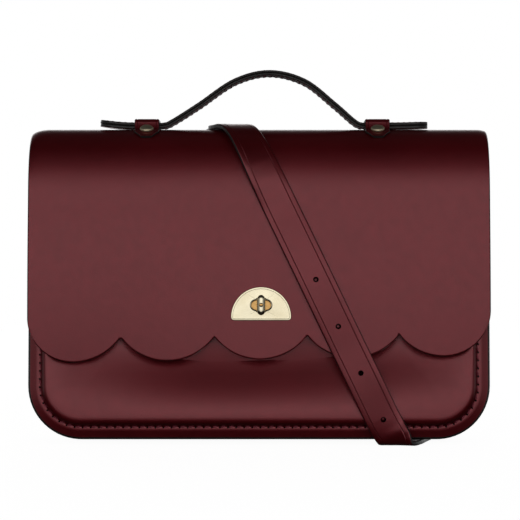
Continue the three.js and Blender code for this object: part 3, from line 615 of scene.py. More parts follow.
def panel(name, side, top, top_radius, proud):
    edge = SHEET / 2
    rim = [(edge * (1 - math.cos(a)), edge * math.sin(a)) for a in np.radians((0, 22, 45, 67, 90))]
    groove = [(SEAM + at, deep) for at, deep in ((-1, 0), (-0.4, 0.35), (0, 0.45), (0.4, 0.35), (0.9, 0))]
    inner = [10.1, 10.5, 11.0, 11.7, 12.7, 14.2, 16, 18.5, 22, 27, 33, 40, 47, 54, 61, 68, 75, 82, 88]

    def ring(inset, outward):
        outline = panel_outline(inset, top, top_radius)
        x, z = outline[:, 0], outline[:, 1]
        proudness = proud * blocked(inset) + min(max(inset - 16, 0) / 30, 1) * slack(x, z) * 0.9
        y = depth(z) + GAP / 2 + outward - edge_drop(inset) + proudness
        y = y - proud * min(max(inset - 10, 0) / 16, 1) * hollow(x, z)
        return np.stack([x, side * y, z], axis=1)

    shape = Shape()
    face = [ring(inset, edge + rise) for inset, rise in rim]
    face += [ring(inset, SHEET) for inset in (2.2, 3.6, 5.2)]
    face += [ring(inset, SHEET - deep) for inset, deep in groove]
    face += [ring(inset, SHEET) for inset in inner]
    back = [ring(inset, edge - rise) for inset, rise in rim]
    back += [ring(inset, 0) for inset in (3, 6, *inner)]
    painted = 4
    shape.skin(back[::-1][: len(back) - painted], 2, ends=3)
    shape.skin([*back[painted::-1], *face[1 : painted + 1]], 1, ends=False)
    shape.skin(face[painted:], 0, ends=1)
    shape.make(name, HIDE, "bag_leather", "bag_body")
    border = panel_outline(SEAM, top, top_radius)
    border = np.vstack([border, border[:1]])
    y = side * (depth(border[:, 1]) + GAP / 2 + SHEET - 0.35 - edge_drop(SEAM))
    path = spaced(np.stack([border[:, 0], y, border[:, 1]], axis=1), 900)
    seam = Shape()
    # the stitch ends carry cones of near-black painted shade at their awl holes
    stitches(seam, path, (0, side * math.cos(LEAN), math.sin(LEAN)), 4.1, 0.62, 12, hole=0.75)
    seam.make(f"{name}_stitches", [THREAD, HOLE_SHADE], "bag_leather", "bag_body", ())


def gusset():
    """One strip that runs down one side, under the bag and up the other, with a flange on each side."""
    outline = panel_outline(0, PANEL_TOP + 60, 1, 24)
    lowest = np.argmin(np.abs(outline[:, 0]) + outline[:, 1])
    outline = np.roll(outline, -lowest, axis=0)
    top = PANEL_TOP - 1
    right = outline[: len(outline) // 2]
    right = right[(right[:, 1] < top) & (right[:, 0] > 0)]
    right = np.vstack([[0, FLOOR], right, [HALF, top]])
    half = spaced(right, 90)
    path = np.vstack([(half * [-1, 1])[::-1], half[1:]])
    along = headings(path)
    inward = np.stack([-along[:, 1], along[:, 0]], axis=1)
    bend, wall = 2.2, BORDER + GUSSET / 2

    def section(z):
        """(inset, y) of the middle of the leather, from the front flange's edge to the back one's."""
        seam = depth(z) - GUSSET / 2
        bow = 1.0 + 3.0 * np.clip((z - FLOOR) / (top - FLOOR), 0, 1) ** 1.5
        flange = [(i, seam - edge_drop(i)) for i in (0.3, 2, 4, 6)]
        turn = arc(wall - bend, seam - bend, bend, 80, 0, 5)
        shares = np.linspace(0.86, 0, 7)
        sweep = [(wall + bow * math.cos(y * math.pi / 2) ** 1.4, y * (seam - bend)) for y in shares]
        side = np.vstack([flange, turn, sweep])
        return np.vstack([side * [1, -1], (side[:-1])[::-1]])

    shape = Shape()
    rings = []
    for p, n in zip(path, inward):
        outline = thicken(section(p[1]), GUSSET, 4)
        deep, y = outline.T
        rings.append(np.column_stack([p[0] + n[0] * deep, y, p[1] + n[1] * deep]))
    count = len(section(50))
    around = [0] * (count - 1) + [1] * 4 + [2] * (count - 1) + [1] * 4
    shape.skin(rings, around[: len(rings[0])], ends=2)
    shape.make("gusset", HIDE, "bag_leather", "bag_body")


def inner_pocket():
    """A slip pocket of suede on the inside of the back panel, open at its top, with a bound mouth."""
    wide, tall, deep, sheet = 200, 110, 8.4, 1.6
    turn = 6 * (1 - np.cos(np.radians(np.arange(0, 91, 15))))
    columns = np.concatenate([turn - wide / 2, np.linspace(-90, 90, 40), wide / 2 - turn[::-1]])
    heights = np.concatenate([turn, np.linspace(12, tall, 24)])
    x, z = np.meshgrid(columns, heights)

    def bulge(most):
        edge = np.minimum(np.minimum(wide / 2 - np.abs(x), z), 6)
        rounded = np.sqrt(np.clip(1 - (1 - edge / 6) ** 2, 0, 1))
        return most * rounded + 0.4 * rounded * np.sin(x / 31) * np.sin(z / 27)

    place = on_back(0, 50)
    base = -SHEET - GAP
    face = place(np.stack([x, z, base - 0.3 - bulge(deep)], axis=2))
    back = place(np.stack([x * 0.985, z + (1 - z / tall) * 1.5, base - 0.1 - bulge(deep - sheet)], axis=2))
    shape = Shape()
    slab(shape, face, back, 0, 0, 0)
    mouth = place(np.stack([x[-1], z[-1], base - bulge(deep)[-1] + sheet / 2 - 0.3], axis=1))
    wire(shape, mouth[1:-1], 1.15, normal=(0, 1, 0), sides=10, finish=1)
    shape.make("inner_pocket", [POCKET_SUEDE, BURGUNDY], "pocket_suede", "bag_body")


panel("front_panel", -1, PANEL_TOP, 10, 1)
panel("back_panel", 1, cad_box("back_panel")[1][2], 1, 0)
gusset()
inner_pocket()


# --- flap
def flap_profile():
    """The flap's middle surface seen from the side, as (y, z), from its hinge over the crown to its hem."""
    back = arc(BACK_CENTRE, HINGE, CROWN, 0, 90, 28)
    front_top = np.array([-7.5, CROWN_TOP])  # the front of the crown's flat ridge
    meet = np.array([front_y(172), 172])
    tilt = math.atan(2 * SWEEP * (172 - LOWEST) / (FRONT_START - LOWEST) ** 2)
    rise = np.array([math.sin(tilt), math.cos(tilt)])
    ridge = spaced(np.array([back[-1], front_top]), 8)[1:-1]
    bend = bezier(front_top, front_top - [32, 0], meet + 10 * rise, meet, 48)
    z = np.linspace(172, LOWEST, 60)[1:]
    return np.vstack([back, ridge, bend, np.column_stack([front_y(z), z])])


PROFILE = flap_profile()
PROFILE_RUN = lengths(PROFILE)
PROFILE_OUT = headings(PROFILE) @ np.array([[0, -1], [1, 0]])


def on_profile(run, out=0.0):
    """(y, z) at a distance along the profile and a distance out from it."""
    away = sampled(PROFILE_OUT, PROFILE_RUN, run) * np.asarray(out)[..., None]
    return sampled(PROFILE, PROFILE_RUN, run) + away


def run_at(z):
    """The distance along the profile of a height on its front."""
    front = np.argmax(PROFILE[:, 1]) + 10
    return np.interp(-np.asarray(z, float), -PROFILE[front:, 1], PROFILE_RUN[front:])


def hem():
    """The scalloped lower edge, as closely spaced (x, z) points."""
    pitch = SCALLOP_WIDTH
    radius = pitch**2 / (8 * SCALLOP) + SCALLOP / 2
    sweep = math.degrees(math.asin(pitch / 2 / radius))
    bottom = CUSP - SCALLOP
    line = [arc(-HALF + pitch / 2, bottom + pitch / 2, pitch / 2, 180, 262, 60)]
    for i in range(SCALLOPS):
        outer = i in (0, SCALLOPS - 1)
        middle = -HALF + pitch * (i + 0.5) + (0 if outer else SHIFT)
        start = -90 if i == 0 else -90 - sweep
        end = -90 if i == SCALLOPS - 1 else -90 + sweep
        line.append(arc(middle, bottom + radius, radius, start, end, 120))
    line.append(arc(HALF - pitch / 2, bottom + pitch / 2, pitch / 2, -82, 0, 60))
    line = np.vstack(line)
    line = line[np.argsort(line[:, 0], kind="stable")]
    line[:, 1] += line[:, 0] * SKEW
    return line


def corner_sag(x):
    """How far the crown droops at its ends; the left one is softer."""
    left = np.clip((-x - (HALF - 13)) / 13, 0, 1)
    right = np.clip((x - (HALF - 7)) / 7, 0, 1)
    return 5.0 * (1 - np.sqrt(1 - left**2)) + 2.2 * (1 - np.sqrt(1 - right**2))


def flap():
    line = hem()
    radius = SHEET / 2
    ease = 1 - np.cos(np.radians(np.arange(0, 91, 15)))
    columns = [-HALF + radius * ease, HALF - radius * ease]
    for i in range(SCALLOPS):
        share = 0.5 + 0.5 * np.sin(np.linspace(-1, 1, 23) * math.pi / 2)
        columns.append(-HALF + SCALLOP_WIDTH * (i + share))
    columns = np.unique(np.round(np.concatenate(columns), 3))
    bottom = np.interp(columns, line[:, 0], line[:, 1])
    steep = np.sqrt(1 + np.gradient(bottom, columns) ** 2).clip(1, 2.5)
    split = 112  # rows follow the hem below this height, and the bend above it
    rim = radius * ease[None, :] * steep[:, None]
    body = (split - bottom)[:, None] * np.linspace(0, 1, 16)[None, 1:] ** 1.25
    body = np.maximum(body, rim[:, -1:] + np.arange(1, 16) * 0.3)
    low_rows = bottom[:, None] + np.concatenate([rim, body], axis=1)
    runs = run_at(low_rows)
    upper = np.concatenate([np.linspace(run_at(split), 2, 110)[1:], radius * ease[::-1]])
    runs = np.concatenate([runs, np.broadcast_to(upper, (len(columns), len(upper)))], axis=1)
    x = np.broadcast_to(columns[:, None], runs.shape)
    middle = on_profile(runs)
    z = middle[..., 1]
    near = np.minimum(HALF - np.abs(x), runs)
    front = runs > run_at(150)
    hem_gap = np.full(runs.shape, 99.0)
    for point in line[::2]:
        gap = np.hypot(x - point[0], z - point[1])
        hem_gap = np.where(front, np.minimum(hem_gap, gap), hem_gap)
    near = np.minimum(near, hem_gap)
    near[:, 0] = 0
    round_off = np.sqrt(np.clip(1 - (1 - np.clip(near / radius, 0, 1)) ** 2, 0, 1))
    wave = flap_wave(x, z) * (runs > run_at(205))
    droop = corner_sag(x) * np.clip((z - 190) / 32, 0, 1)

    def side(offset):
        placed = on_profile(runs, offset * round_off)
        return np.stack([x, placed[..., 0] - wave, placed[..., 1] - droop], axis=-1)

    shape = Shape()
    slab(shape, side(radius), side(-radius), 0, 2, 1)
    paint_rim(shape, near, radius * 0.5)
    made = shape.make("flap", HIDE, "bag_leather", "flap_body", sharp=60)
    cut(made, cutter(stadium(21.8, 8.8, 24), AT_LOCK, -3, 3, EDGE))


def paint_rim(shape, near, reach):
    """Gives the edge's finish to every face of a slab that lies within reach of its edge."""
    corners = np.stack([near[:-1, :-1], near[1:, :-1], near[:-1, 1:], near[1:, 1:]])
    painted = np.tile((corners.max(axis=0) < reach).ravel(), 2)
    for face in np.nonzero(painted)[0]:
        shape.finishes[face] = 1


def hinge_crease():
    """The thin line of hide that joins the back panel to the flap and bends when the flap opens."""
    z = np.linspace(-4, 3, 15) + HINGE
    x = np.linspace(-HALF + 0.6, HALF - 0.6, 60)
    x, z = np.meshgrid(x, z)
    y = np.full(x.shape, BACK_CENTRE + CROWN)
    shape = Shape()
    slab(shape, np.stack([x, y + 0.95, z], axis=2), np.stack([x, y - 0.95, z], axis=2), 0, 2, 0)
    crease = shape.make("hinge_crease", HIDE, "bag_leather", None, ())
    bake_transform(crease)


flap()
hinge_crease()


# --- long strap
TWIST = 16  # degrees by which the strap's left edge lifts off the flap below the crown


def back_station(x, height, out, across_x, across_z):
    return on_back(x, height)([0, 0, out]), (across_x, 0, across_z)


def ring_station(angle):
    turn = RING_WIRE + GAP + STRAP_THICK / 2
    across, out = turn * math.sin(math.radians(angle)), turn * math.cos(math.radians(angle))
    return on_back(-RING_X, RING_Z)([0, across - RING_DROP, RING_OUT + out]), (1, 0, 0)


UNDER_LAYER, OVER_LAYER = 3.4, 7.2
FOLDED_END = [
    back_station(-118, 94, OVER_LAYER, 0.99, 0.12),
    back_station(-119, 104, OVER_LAYER, 0.99, 0.12),
    back_station(-121.6, 124, OVER_LAYER, 0.99, 0.12),
    back_station(-123.6, 140, OVER_LAYER, 0.99, 0.07),
    *[ring_station(angle) for angle in range(0, 181, 30)],
    back_station(-123.6, 140, UNDER_LAYER, 0.99, 0.07),
    back_station(-121, 119, UNDER_LAYER, 0.99, 0.13),
    back_station(-117.6, 98, UNDER_LAYER, 0.99, 0.12),
]
UP_THE_BACK = [
    back_station(-115.2, 80, UNDER_LAYER, 0.99, 0.06),
    back_station(-113.8, 69, 3.9, 0.99, -0.04),
    back_station(-112.9, 62.6, 6, 0.98, -0.12),
    back_station(-112.3, 60, 9.6, 0.97, -0.2),
    back_station(-111.3, 62.6, 13.2, 0.95, -0.28),
    back_station(-108.6, 70, 15.6, 0.93, -0.36),
    back_station(-101.4, 88, 15.8, 0.91, -0.42),
    back_station(-86.4, 120, 13.2, 0.9, -0.43),
    back_station(-72, 150, 8.8, 0.9, -0.43),
    back_station(-57.6, 180, 4.2, 0.9, -0.43),
]


def over_the_flap():
    """The slanting run over the crown and down the front, its left edge lifted below the crown."""
    lift = SHEET / 2 + GAP + STRAP_THICK / 2
    runs = np.concatenate([np.linspace(0, run_at(200), 22), np.linspace(run_at(200), run_at(70), 16)[1:]])
    line = on_profile(runs, lift)
    travel = lengths(line)
    ridge = np.interp(0, -(line[:12, 0] - HANDLE_Y), travel[:12])
    top = np.interp(ridge, travel, runs)
    share = np.clip((runs - top) / (run_at(165) - top), 0, 1)
    tilt = np.radians(TWIST) * np.sin(math.pi * share**0.8) ** 2
    stand = 2.0 * np.sin(math.pi * np.clip((runs - run_at(190)) / (run_at(50) - run_at(190)), 0, 1)) ** 2
    out = on_profile(runs, 1) - on_profile(runs)
    along = headings(line)
    stations = []
    for (y, z), (dy, dz), (ny, nz), where, t, clear in zip(line, along, out, travel, tilt, stand):
        x = STRAP_TOP_X + (where - ridge) * SLOPE + 8 * math.exp(-(((where - ridge + 22) / 12) ** 2))
        flat = unit(np.array([1, -SLOPE * dy, -SLOPE * dz]))
        normal = np.array([0, ny, nz])
        raise_by = normal * (math.sin(t) * STRAP / 2 + clear)
        sway = np.array([0, flap_wave(x, z), 0])
        stations.append((np.array([x, y, z]) + raise_by - sway, flat * math.cos(t) - normal * math.sin(t)))
    return stations


def strap_x(z):
    return 93 - (z - 10) * SLOPE


BEHIND = depth(FLOOR) + SHEET
UNDER_THE_BAG = [
    ((strap_x(46), -49.2, 46), (1, 0, SLOPE)),
    ((strap_x(24), -48.1, 24), (1, 0, SLOPE)),
    ((strap_x(13) + 0.6, -47.4, 13), (1, -0.1, 0.46)),
    ((96.4, -46.9, 6.4), (1, -0.3, 0.2)),
    ((98.8, -44.9, 2.6), (1, -0.4, 0)),
    ((101.6, -40.4, 1.7), (1, -0.43, 0)),
    ((106.2, -27, 1.7), (1, -0.4, 0)),
    ((111.1, -6, 1.7), (1, -0.3, 0)),
    ((116, 14, 1.7), (1, -0.18, 0)),
    ((118.6, 30, 1.7), (1, -0.1, 0)),
    ((119.2, BEHIND - 3, 1.7), (1, -0.05, 0)),
    ((119.6, BEHIND + 2.1, 2.9), (1, -0.04, 0)),
    ((120, BEHIND + 4.3, 7.4), (1, -0.03, -0.05)),
    back_station(120.8, 15, 4.2, 1, -0.08),
    back_station(122.6, 27, 2.8, 1, -0.07),
    back_station(124.4, 40, 2.5, 1, -0.04),
]
THROUGH_THE_BUCKLE = [  # (height from the ring's bar, distance out of the back panel)
    (TIP, 2.5), (TIP + 6, 4.2), (TIP + 12, 7.4), (HEEL - 4, 11.8), (HEEL + 2, 12.7),
    (HEEL + 9, 11.2), (HEEL + 15, TAIL_LAYER), (HEEL + 22, TAIL_LAYER), (HEEL + 48, TAIL_LAYER),
]


def strap_route():
    """Dense points of the strap's middle, the directions across it, and where the folded end stops."""
    steps = 8
    tail = [back_station(RING_X, RING_Z + up, out, 1, 0) for up, out in THROUGH_THE_BUCKLE]
    stations = [*FOLDED_END, *UP_THE_BACK, *over_the_flap(), *UNDER_THE_BAG, *tail]
    middle = np.array([place for place, _ in stations], float)
    across = unit(np.array([way for _, way in stations], float))
    line = smooth(middle, steps)
    edge = smooth(middle + across * STRAP / 2, steps) - line
    low = STRAP_THICK / 2
    line[:, 2] = np.maximum(line[:, 2], low)
    edge[:, 2] *= np.clip((line[:, 2] - low) / STRAP_THICK, 0, 1)  # level where it lies on the floor
    return line, unit(edge), (len(FOLDED_END) - 1) * steps


def punches(line, across, run):
    """The slot for the buckle's prong and the round holes on both sides of it, as cutters."""
    from_tip, pitch = 62, 37
    tools = []
    for i in range(-1, 9):
        if i == 0:
            place = place_at(on_back(RING_X, RING_Z)([0, HEEL - 12, 8]), BACK_OUT, (0, 0, 1))
            tools.append(cutter(stadium(14, 3.4), place, -12, 12, EDGE))
            continue
        at = run[-1] - from_tip - i * pitch
        k = int(np.searchsorted(run, at))
        along = unit(line[k + 1] - line[k - 1])
        place = place_at(sampled(line, run, at), np.cross(along, across[k]), along)
        outline = arc(0, 0, 2, 0, 345, 23)
        # the punched holes' walls get the cutter's near-black painted shade
        tools.append(cutter(outline, place, -0.9, 4, HOLE_SHADE))
        tools.append(cutter(outline * 0.45, place, -4, 0, HOLE_SHADE))  # narrower at the strap's back
    return tools


def strap_long():
    line, across, split = strap_route()
    run = lengths(line)
    pointed = np.clip((run[-1] - run + 1.2) / 15, 0, 1) ** 0.62
    blunt = np.clip((run + 5) / 9, 0, 1) ** 0.5
    folded, main = Shape(), Shape()
    ribbon(folded, line[: split + 1], across[: split + 1], STRAP, STRAP_THICK, 4, blunt[: split + 1])
    folded = folded.make("strap_long_folded_end", STRAP_HIDES, "strap_leather", None, ())
    ribbon(main, line[split:], across[split:], STRAP, STRAP_THICK, 4, pointed[split:])
    main = main.make("strap_long", STRAP_HIDES, "strap_leather", "bag_body")
    cut(main, *punches(line, across, run))
    stud = strap_rivet("strap_rivet_long", on_back(-121.6, 124), UNDER_LAYER, OVER_LAYER, STRAP_THICK)
    for piece in (folded, stud):
        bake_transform(piece)


strap_long()


# --- short strap, rings, tabs and keepers
def side_line(shape, line, x, height, width, thick, way, crease=0, taper=1.0):
    """A strap whose middle is (out, up) points from a place on the back panel. way turns its grain side."""
    points = on_back(x, height)(np.column_stack([np.zeros(len(line)), line[:, 1], line[:, 0]]))
    ribbon(shape, points, (way, 0, 0), width, thick, crease, taper)


def rounded_ends(line, width, radius, both=True):
    """The share of its width that a strap keeps along its line, where its ends have round corners."""
    run = lengths(line)
    gone = np.minimum(run, run[-1] - run) if both else run[-1] - run
    corner = np.clip(gone / radius, 0, 1)
    return 1 - 2 * radius / width * (1 - np.sqrt(1 - (1 - corner) ** 2))


def strap_short():
    ring_turn = RING_WIRE + 1.7 * GAP + SHORT_THICK / 2
    bar_turn = BUCKLE_WIRE + 1.7 * GAP + SHORT_THICK / 2
    line = np.vstack([
        [[NEAR_LAYER, END_RIVET - 14], [NEAR_LAYER, END_RIVET - 5], [NEAR_LAYER, END_RIVET + 1]],
        arc(RING_OUT, -RING_DROP, ring_turn, 180, 0, 18),
        [[FAR_LAYER + 0.2, END_RIVET + 1], [FAR_LAYER, END_RIVET - 5]],
        [[FAR_LAYER, -50], [FAR_LAYER, HEEL + 12]],
        arc(BUCKLE_OUT, HEEL, bar_turn, 0, -180, 18),
        [[NEAR_LAYER, HEEL + 10], [NEAR_LAYER, -60], [NEAR_LAYER, END_RIVET - 15]],
    ])
    shape = Shape()
    side_line(shape, smooth(line, 3), RING_X, RING_Z, STRAP, SHORT_THICK, -1, 4)
    band = shape.make("strap_short", STRAP_HIDES, "strap_leather")
    place = on_back(RING_X, RING_Z)
    slot = place_at(place([0, HEEL - 1, 0]), BACK_OUT, (0, 0, 1))
    cut(band, cutter(stadium(12, 4), slot, 0, 14, EDGE))
    stud = strap_rivet("strap_rivet_short", raised(place, END_RIVET), NEAR_LAYER, FAR_LAYER, SHORT_THICK)
    for piece in (band, stud):
        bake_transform(piece)


def wire_loop(name, half, top, bottom, out, radius, x, body):
    """A wire bent into a rectangle with round corners, beside the back panel."""
    points = on_back(x, RING_Z)(level(round_box(half, bottom, top, 4, 8), out))
    shape = Shape()
    wire(shape, points, radius, (0, math.cos(LEAN), math.sin(LEAN)), closed=True)
    shape.make(name, [GOLD], "pale_gold", body)


def ring_tab(name, x):
    sheet = 1.8
    turn, rest = RING_WIRE + GAP + sheet / 2, GAP + sheet / 2
    lapped = rest + sheet + GAP
    line = np.vstack([
        [[rest, 23], [rest, 16], [rest, 9.5]],
        arc(RING_OUT, 0, turn, 165, 390, 16),
        [[lapped + 0.3, 10.5], [lapped, 14], [lapped, 22]],
    ])
    line = smooth(line, 4)
    ends = 5 * (1 - np.cos(np.radians(np.arange(0, 91, 15))))
    line = np.vstack([line[:-4], np.column_stack([np.full(7, lapped), 22 - ends[::-1]])])
    shape = Shape()
    side_line(shape, line, x, RING_Z, 20, sheet, 1, 0, rounded_ends(line, 20, 5))
    shape.make(f"ring_tab_{name}", STRAP_HIDES, "strap_leather", "bag_body")
    place = on_back(x, RING_Z)
    seat = 2 * (sheet + GAP) + 0.1
    rivet(f"ring_tab_rivet_{name}", raised(place, 16), flat_foot(-SHEET - 0.3), seat, 4.2, 2, "bag_body")
    rows = Shape()
    for edge in (-7.6, 7.6):
        row = np.column_stack([np.full(30, edge), np.linspace(9, 20.5, 30)])
        stitches(rows, place(level(row, lapped + sheet / 2)), BACK_OUT, 2.8, 0.4, 6, 3.8)
    rows.make(f"ring_tab_stitches_{name}", [THREAD], "strap_leather", "bag_body", ())


def keeper(name, height, body):
    """A band of leather round the short strap and the tail that lies on it, sewn on its inner side."""
    sheet = 1.6
    near = NEAR_LAYER - SHORT_THICK / 2 - GAP - sheet / 2
    far = TAIL_LAYER + STRAP_THICK / 2 + GAP + sheet / 2
    path = round_box(STRAP / 2 + 0.6 + sheet / 2, near, far, 2.4, 7)
    place = on_back(RING_X, RING_Z)
    points = place(np.column_stack([path[:, 0], np.full(len(path), height + 5), path[:, 1]]))
    up = place([0, 1, 0]) - place([0, 0, 0])
    section, finish = strap_section(10, sheet, 2, 0.7)
    out = np.cross(up, headings(points, closed=True))
    rings = [m + np.outer(section[:, 0], up) - np.outer(section[:, 1], o) for m, o in zip(points, out)]
    shape = Shape()
    shape.skin(rings, finish, closed=True)
    shape.make(name, STRAP_HIDES, "strap_leather", body)


def prong():
    """A metal tongue: an eye round the heel bar and an arm that rests on the tip bar."""
    radius = BUCKLE_WIRE + GAP + 0.6
    rest = BUCKLE_OUT + BUCKLE_WIRE + GAP + 0.65
    arm = smooth([[4.9, HEEL - 2.4], [6.4, TIP + 14], [rest + 0.1, TIP + 4], [rest, TIP - 2.2]], 6)
    line = np.vstack([arc(BUCKLE_OUT, HEEL, radius, -50, 238, 26), arm[1:]])
    place = on_back(RING_X, RING_Z)
    points = place(np.column_stack([np.zeros(len(line)), line[:, 1], line[:, 0]]))
    shape = Shape()
    ribbon(shape, points, (1, 0, 0), 2.4, 1.2, 0, rounded_ends(line, 2.4, 1, both=False), (0, 0, 0))
    shape.make("buckle_prong", [GOLD], "pale_gold", "prong")


strap_short()
for side_name, side_x in (("left", -RING_X), ("right", RING_X)):
    ring_tab(side_name, side_x)
    ring, body = f"strap_ring_{side_name}", f"ring_{side_name}"
    wire_loop(ring, STRAP / 2 + 3 + RING_WIRE, 0, -RING_DROP, RING_OUT, RING_WIRE, side_x, body)
buckle_half = STRAP / 2 + 1.2 + BUCKLE_WIRE
wire_loop("buckle_frame", buckle_half, HEEL, TIP, BUCKLE_OUT, BUCKLE_WIRE, RING_X, "bag_body")
prong()
keeper("keeper_fixed", HEEL + 16, "bag_body")
keeper("keeper_sliding", HEEL + 33, "loose_keeper")


# --- handle
def arch_line():
    """The handle's middle line as (x, height), its peak a little right of centre."""
    points = [[-88, 0], [-73, 0.3], [-66, 2.6], [-46, 15.2], [-20, 32.6], [5.5, 38.8],
              [31, 32.4], [53, 15.4], [68, 2.5], [75, 0.3], [88, 0]]
    line = smooth(points, 12)
    line = line[np.abs(line[:, 0]) < 77]
    return line + [HANDLE_X, HANDLE_MIDDLE]


def layer_points(line, lift):
    """A line lifted along its own normal, as points on the handle's middle plane."""
    along = headings(line)
    x, z = (line + np.column_stack([-along[:, 1], along[:, 0]]) * lift).T
    return np.column_stack([x, np.full(len(line), HANDLE_Y), z])


def handle_arch():
    line = arch_line()
    thick = 1.9  # the arch is pressed thinner than its end tabs
    lift = thick / 2 + 0.02
    sewn = Shape()
    pieces = []
    for name, way, finishes, sunk in (
        ("handle_arch_outer", 1, (0, 1, 2), 0.28),
        ("handle_arch_lining", -1, (2, 1, 2), 0.05),
    ):
        shape = Shape()
        ribbon(shape, layer_points(line, way * lift), (0, way, 0), HANDLE, thick, finishes=finishes)
        pieces.append(shape.make(name, STRAP_HIDES, "strap_leather", "flap_body"))
        face = layer_points(line, way * (lift + thick / 2 - sunk))[3:-3]
        normals = (face - layer_points(line, 0)[3:-3])[np.linspace(0, len(face) - 1, 200).astype(int)]
        for edge in (2.6 - HANDLE / 2, HANDLE / 2 - 2.6):
            stitches(sewn, spaced(face, 200) + [0, edge, 0], normals, 3.2, 0.42, 9, 4.4)
    pieces.append(sewn.make("handle_arch_stitches", [THREAD], "strap_leather", "flap_body", ()))
    for piece in pieces:
        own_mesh(piece)


def handle_end(name, side, reach, curl):
    """An end tab of two sewn layers with a round tip that curls up a little."""
    radius = HANDLE / 2
    tip = reach - radius + radius * np.sin(np.radians(np.arange(0, 90, 9)))
    x = np.concatenate([np.linspace(76.2, reach - radius, 14)[:-1], tip, [reach - 0.02]])
    rise = curl * np.clip((x - 92) / (reach - 92), 0, 1) ** 2
    round_tip = np.sqrt(np.clip(1 - np.clip((x - reach + radius) / radius, 0, 1) ** 2, 0.0005, 1))
    shape, rows = Shape(), Shape()
    lift = (LAYER + GAP) / 2
    for way in (1, -1):
        z = HANDLE_MIDDLE + rise + way * lift
        middle = np.column_stack([HANDLE_X + side * x, np.full(len(x), HANDLE_Y), z])
        ribbon(shape, middle, (0, side * way, 0), HANDLE, LAYER + 0.2, taper=round_tip)
    inset = 2.6
    edge = np.vstack([
        [[93, inset - radius], [reach - radius, inset - radius]],
        arc(reach - radius, 0, radius - inset, -90, 90, 20)[1:-1],
        [[reach - radius, radius - inset], [93, radius - inset]],
    ])
    edge = spaced(edge, 240)
    rise = curl * np.clip((edge[:, 0] - 92) / (reach - 92), 0, 1) ** 2
    top = HANDLE_MIDDLE + rise + lift + LAYER / 2 - 0.15
    path = np.column_stack([HANDLE_X + side * edge[:, 0], HANDLE_Y + side * edge[:, 1], top])
    stitches(rows, path, (0, 0, 1), 3.2, 0.42, 9, 4.4)
    shape.make(f"handle_end_{name}", STRAP_HIDES, "strap_leather", f"handle_{name}")
    rows.make(f"handle_end_stitches_{name}", [THREAD], "strap_leather", f"handle_{name}", ())


def crown_run(angle):
    """The distance along the profile where its normal leans forward by an angle from straight up."""
    leaning = np.degrees(np.arctan2(-PROFILE_OUT[:, 0], PROFILE_OUT[:, 1]))
    return np.interp(angle, leaning[:100], PROFILE_RUN[:100])


def handle_loop(name, x):
    """A strip with pointed ends that crosses over the handle and is riveted to the crown on both sides."""
    thick = 2.2
    lift = SHEET / 2 + GAP + thick / 2
    over = HANDLE_MIDDLE + LAYER + GAP + thick / 2 + 0.1
    half = HANDLE / 2 + GAP + thick / 2 + 0.5
    front = on_profile(np.linspace(crown_run(43), crown_run(20), 8), lift)
    back = on_profile(np.linspace(crown_run(-17), crown_run(-47), 8), lift)
    hump = np.vstack([
        [[HANDLE_Y - half - 0.6, 230.4]],
        arc(HANDLE_Y - half + 2.4, over - 2.4, 2.4, 180, 90, 3),
        arc(HANDLE_Y + half - 2.4, over - 2.4, 2.4, 90, 0, 3),
        [[HANDLE_Y + half + 0.6, 230.4]],
    ])
    line = smooth(np.vstack([front, hump, back]), 4)
    run = lengths(line)
    ends = np.minimum(run, run[-1] - run)
    taper = 0.42 + 0.58 * np.clip(ends / 6.5, 0, 1)
    points = np.column_stack([np.full(len(line), x), line])
    shape = Shape()
    ribbon(shape, points, (-1, 0, 0), LOOP_WIDTH, thick, 2.2, taper)
    shape.make(f"handle_loop_{name}", STRAP_HIDES, "strap_leather", "flap_body")
    for end, angle in (("front", 25), ("back", -25)):
        seat_run = crown_run(angle)
        y, z = on_profile(seat_run)
        out = on_profile(seat_run, 1.0) - on_profile(seat_run)
        place = place_at((x, y, z), (0, *out), (1, 0, 0))
        foot, seat = flat_foot(-SHEET / 2 - 0.9), lift + thick / 2 - 0.1
        rivet(f"loop_rivet_{name}_{end}", place, foot, seat, 5.0, 3.0, "flap_body", BRUSHED)


handle_arch()
for side_name, side_way, tip, tip_curl in (("left", -1, REACH + 1, 2.4), ("right", 1, REACH + 3.8, 0.8)):
    handle_end(side_name, side_way, tip, tip_curl)
    handle_loop(side_name, HANDLE_X + side_way * LOOP_X)


# --- turn lock
PLATE_BACK = SHEET / 2 + GAP
PLATE = 1.2
KNOB_BACK = PLATE_BACK + PLATE + 0.8 + GAP


def half_moon(width, height, corner):
    """The lock plate's outline round its slot: a flat foot with soft corners and a round back."""
    radius = width**2 / (8 * height) + height / 2
    middle = height - radius
    foot = math.sqrt((radius - corner) ** 2 - (middle - corner) ** 2)
    bend = math.degrees(math.atan2(corner - middle, foot))
    right = arc(foot, corner, corner, -90, bend, 10)
    back = arc(0, middle, radius, bend, 180 - bend, 80)
    left = arc(-foot, corner, corner, 180 - bend, 270, 10)
    base = spaced(np.array([left[-1], right[0]]), 30)[1:-1]
    return np.vstack([right, back[1:-1], left, base]) - [0, 11]


def by_angle(outline):
    """The outline's points at even angles round the slot's middle."""
    angle = np.unwrap(np.arctan2(outline[:, 1], outline[:, 0]))
    reach = np.hypot(outline[:, 0], outline[:, 1])
    order = np.argsort(angle % (2 * math.pi))
    known, reach = (angle % (2 * math.pi))[order], reach[order]
    known = np.concatenate([known - 2 * math.pi, known, known + 2 * math.pi])
    turn = np.radians(np.arange(144) * 360 / 144)
    reach = np.interp(turn, known, np.tile(reach, 3))
    return np.column_stack([reach * np.cos(turn), reach * np.sin(turn)])


def inset(outline, by):
    """An outline drawn inwards by a small distance."""
    along = headings(outline, closed=True)
    return outline + np.column_stack([-along[:, 1], along[:, 0]]) * by


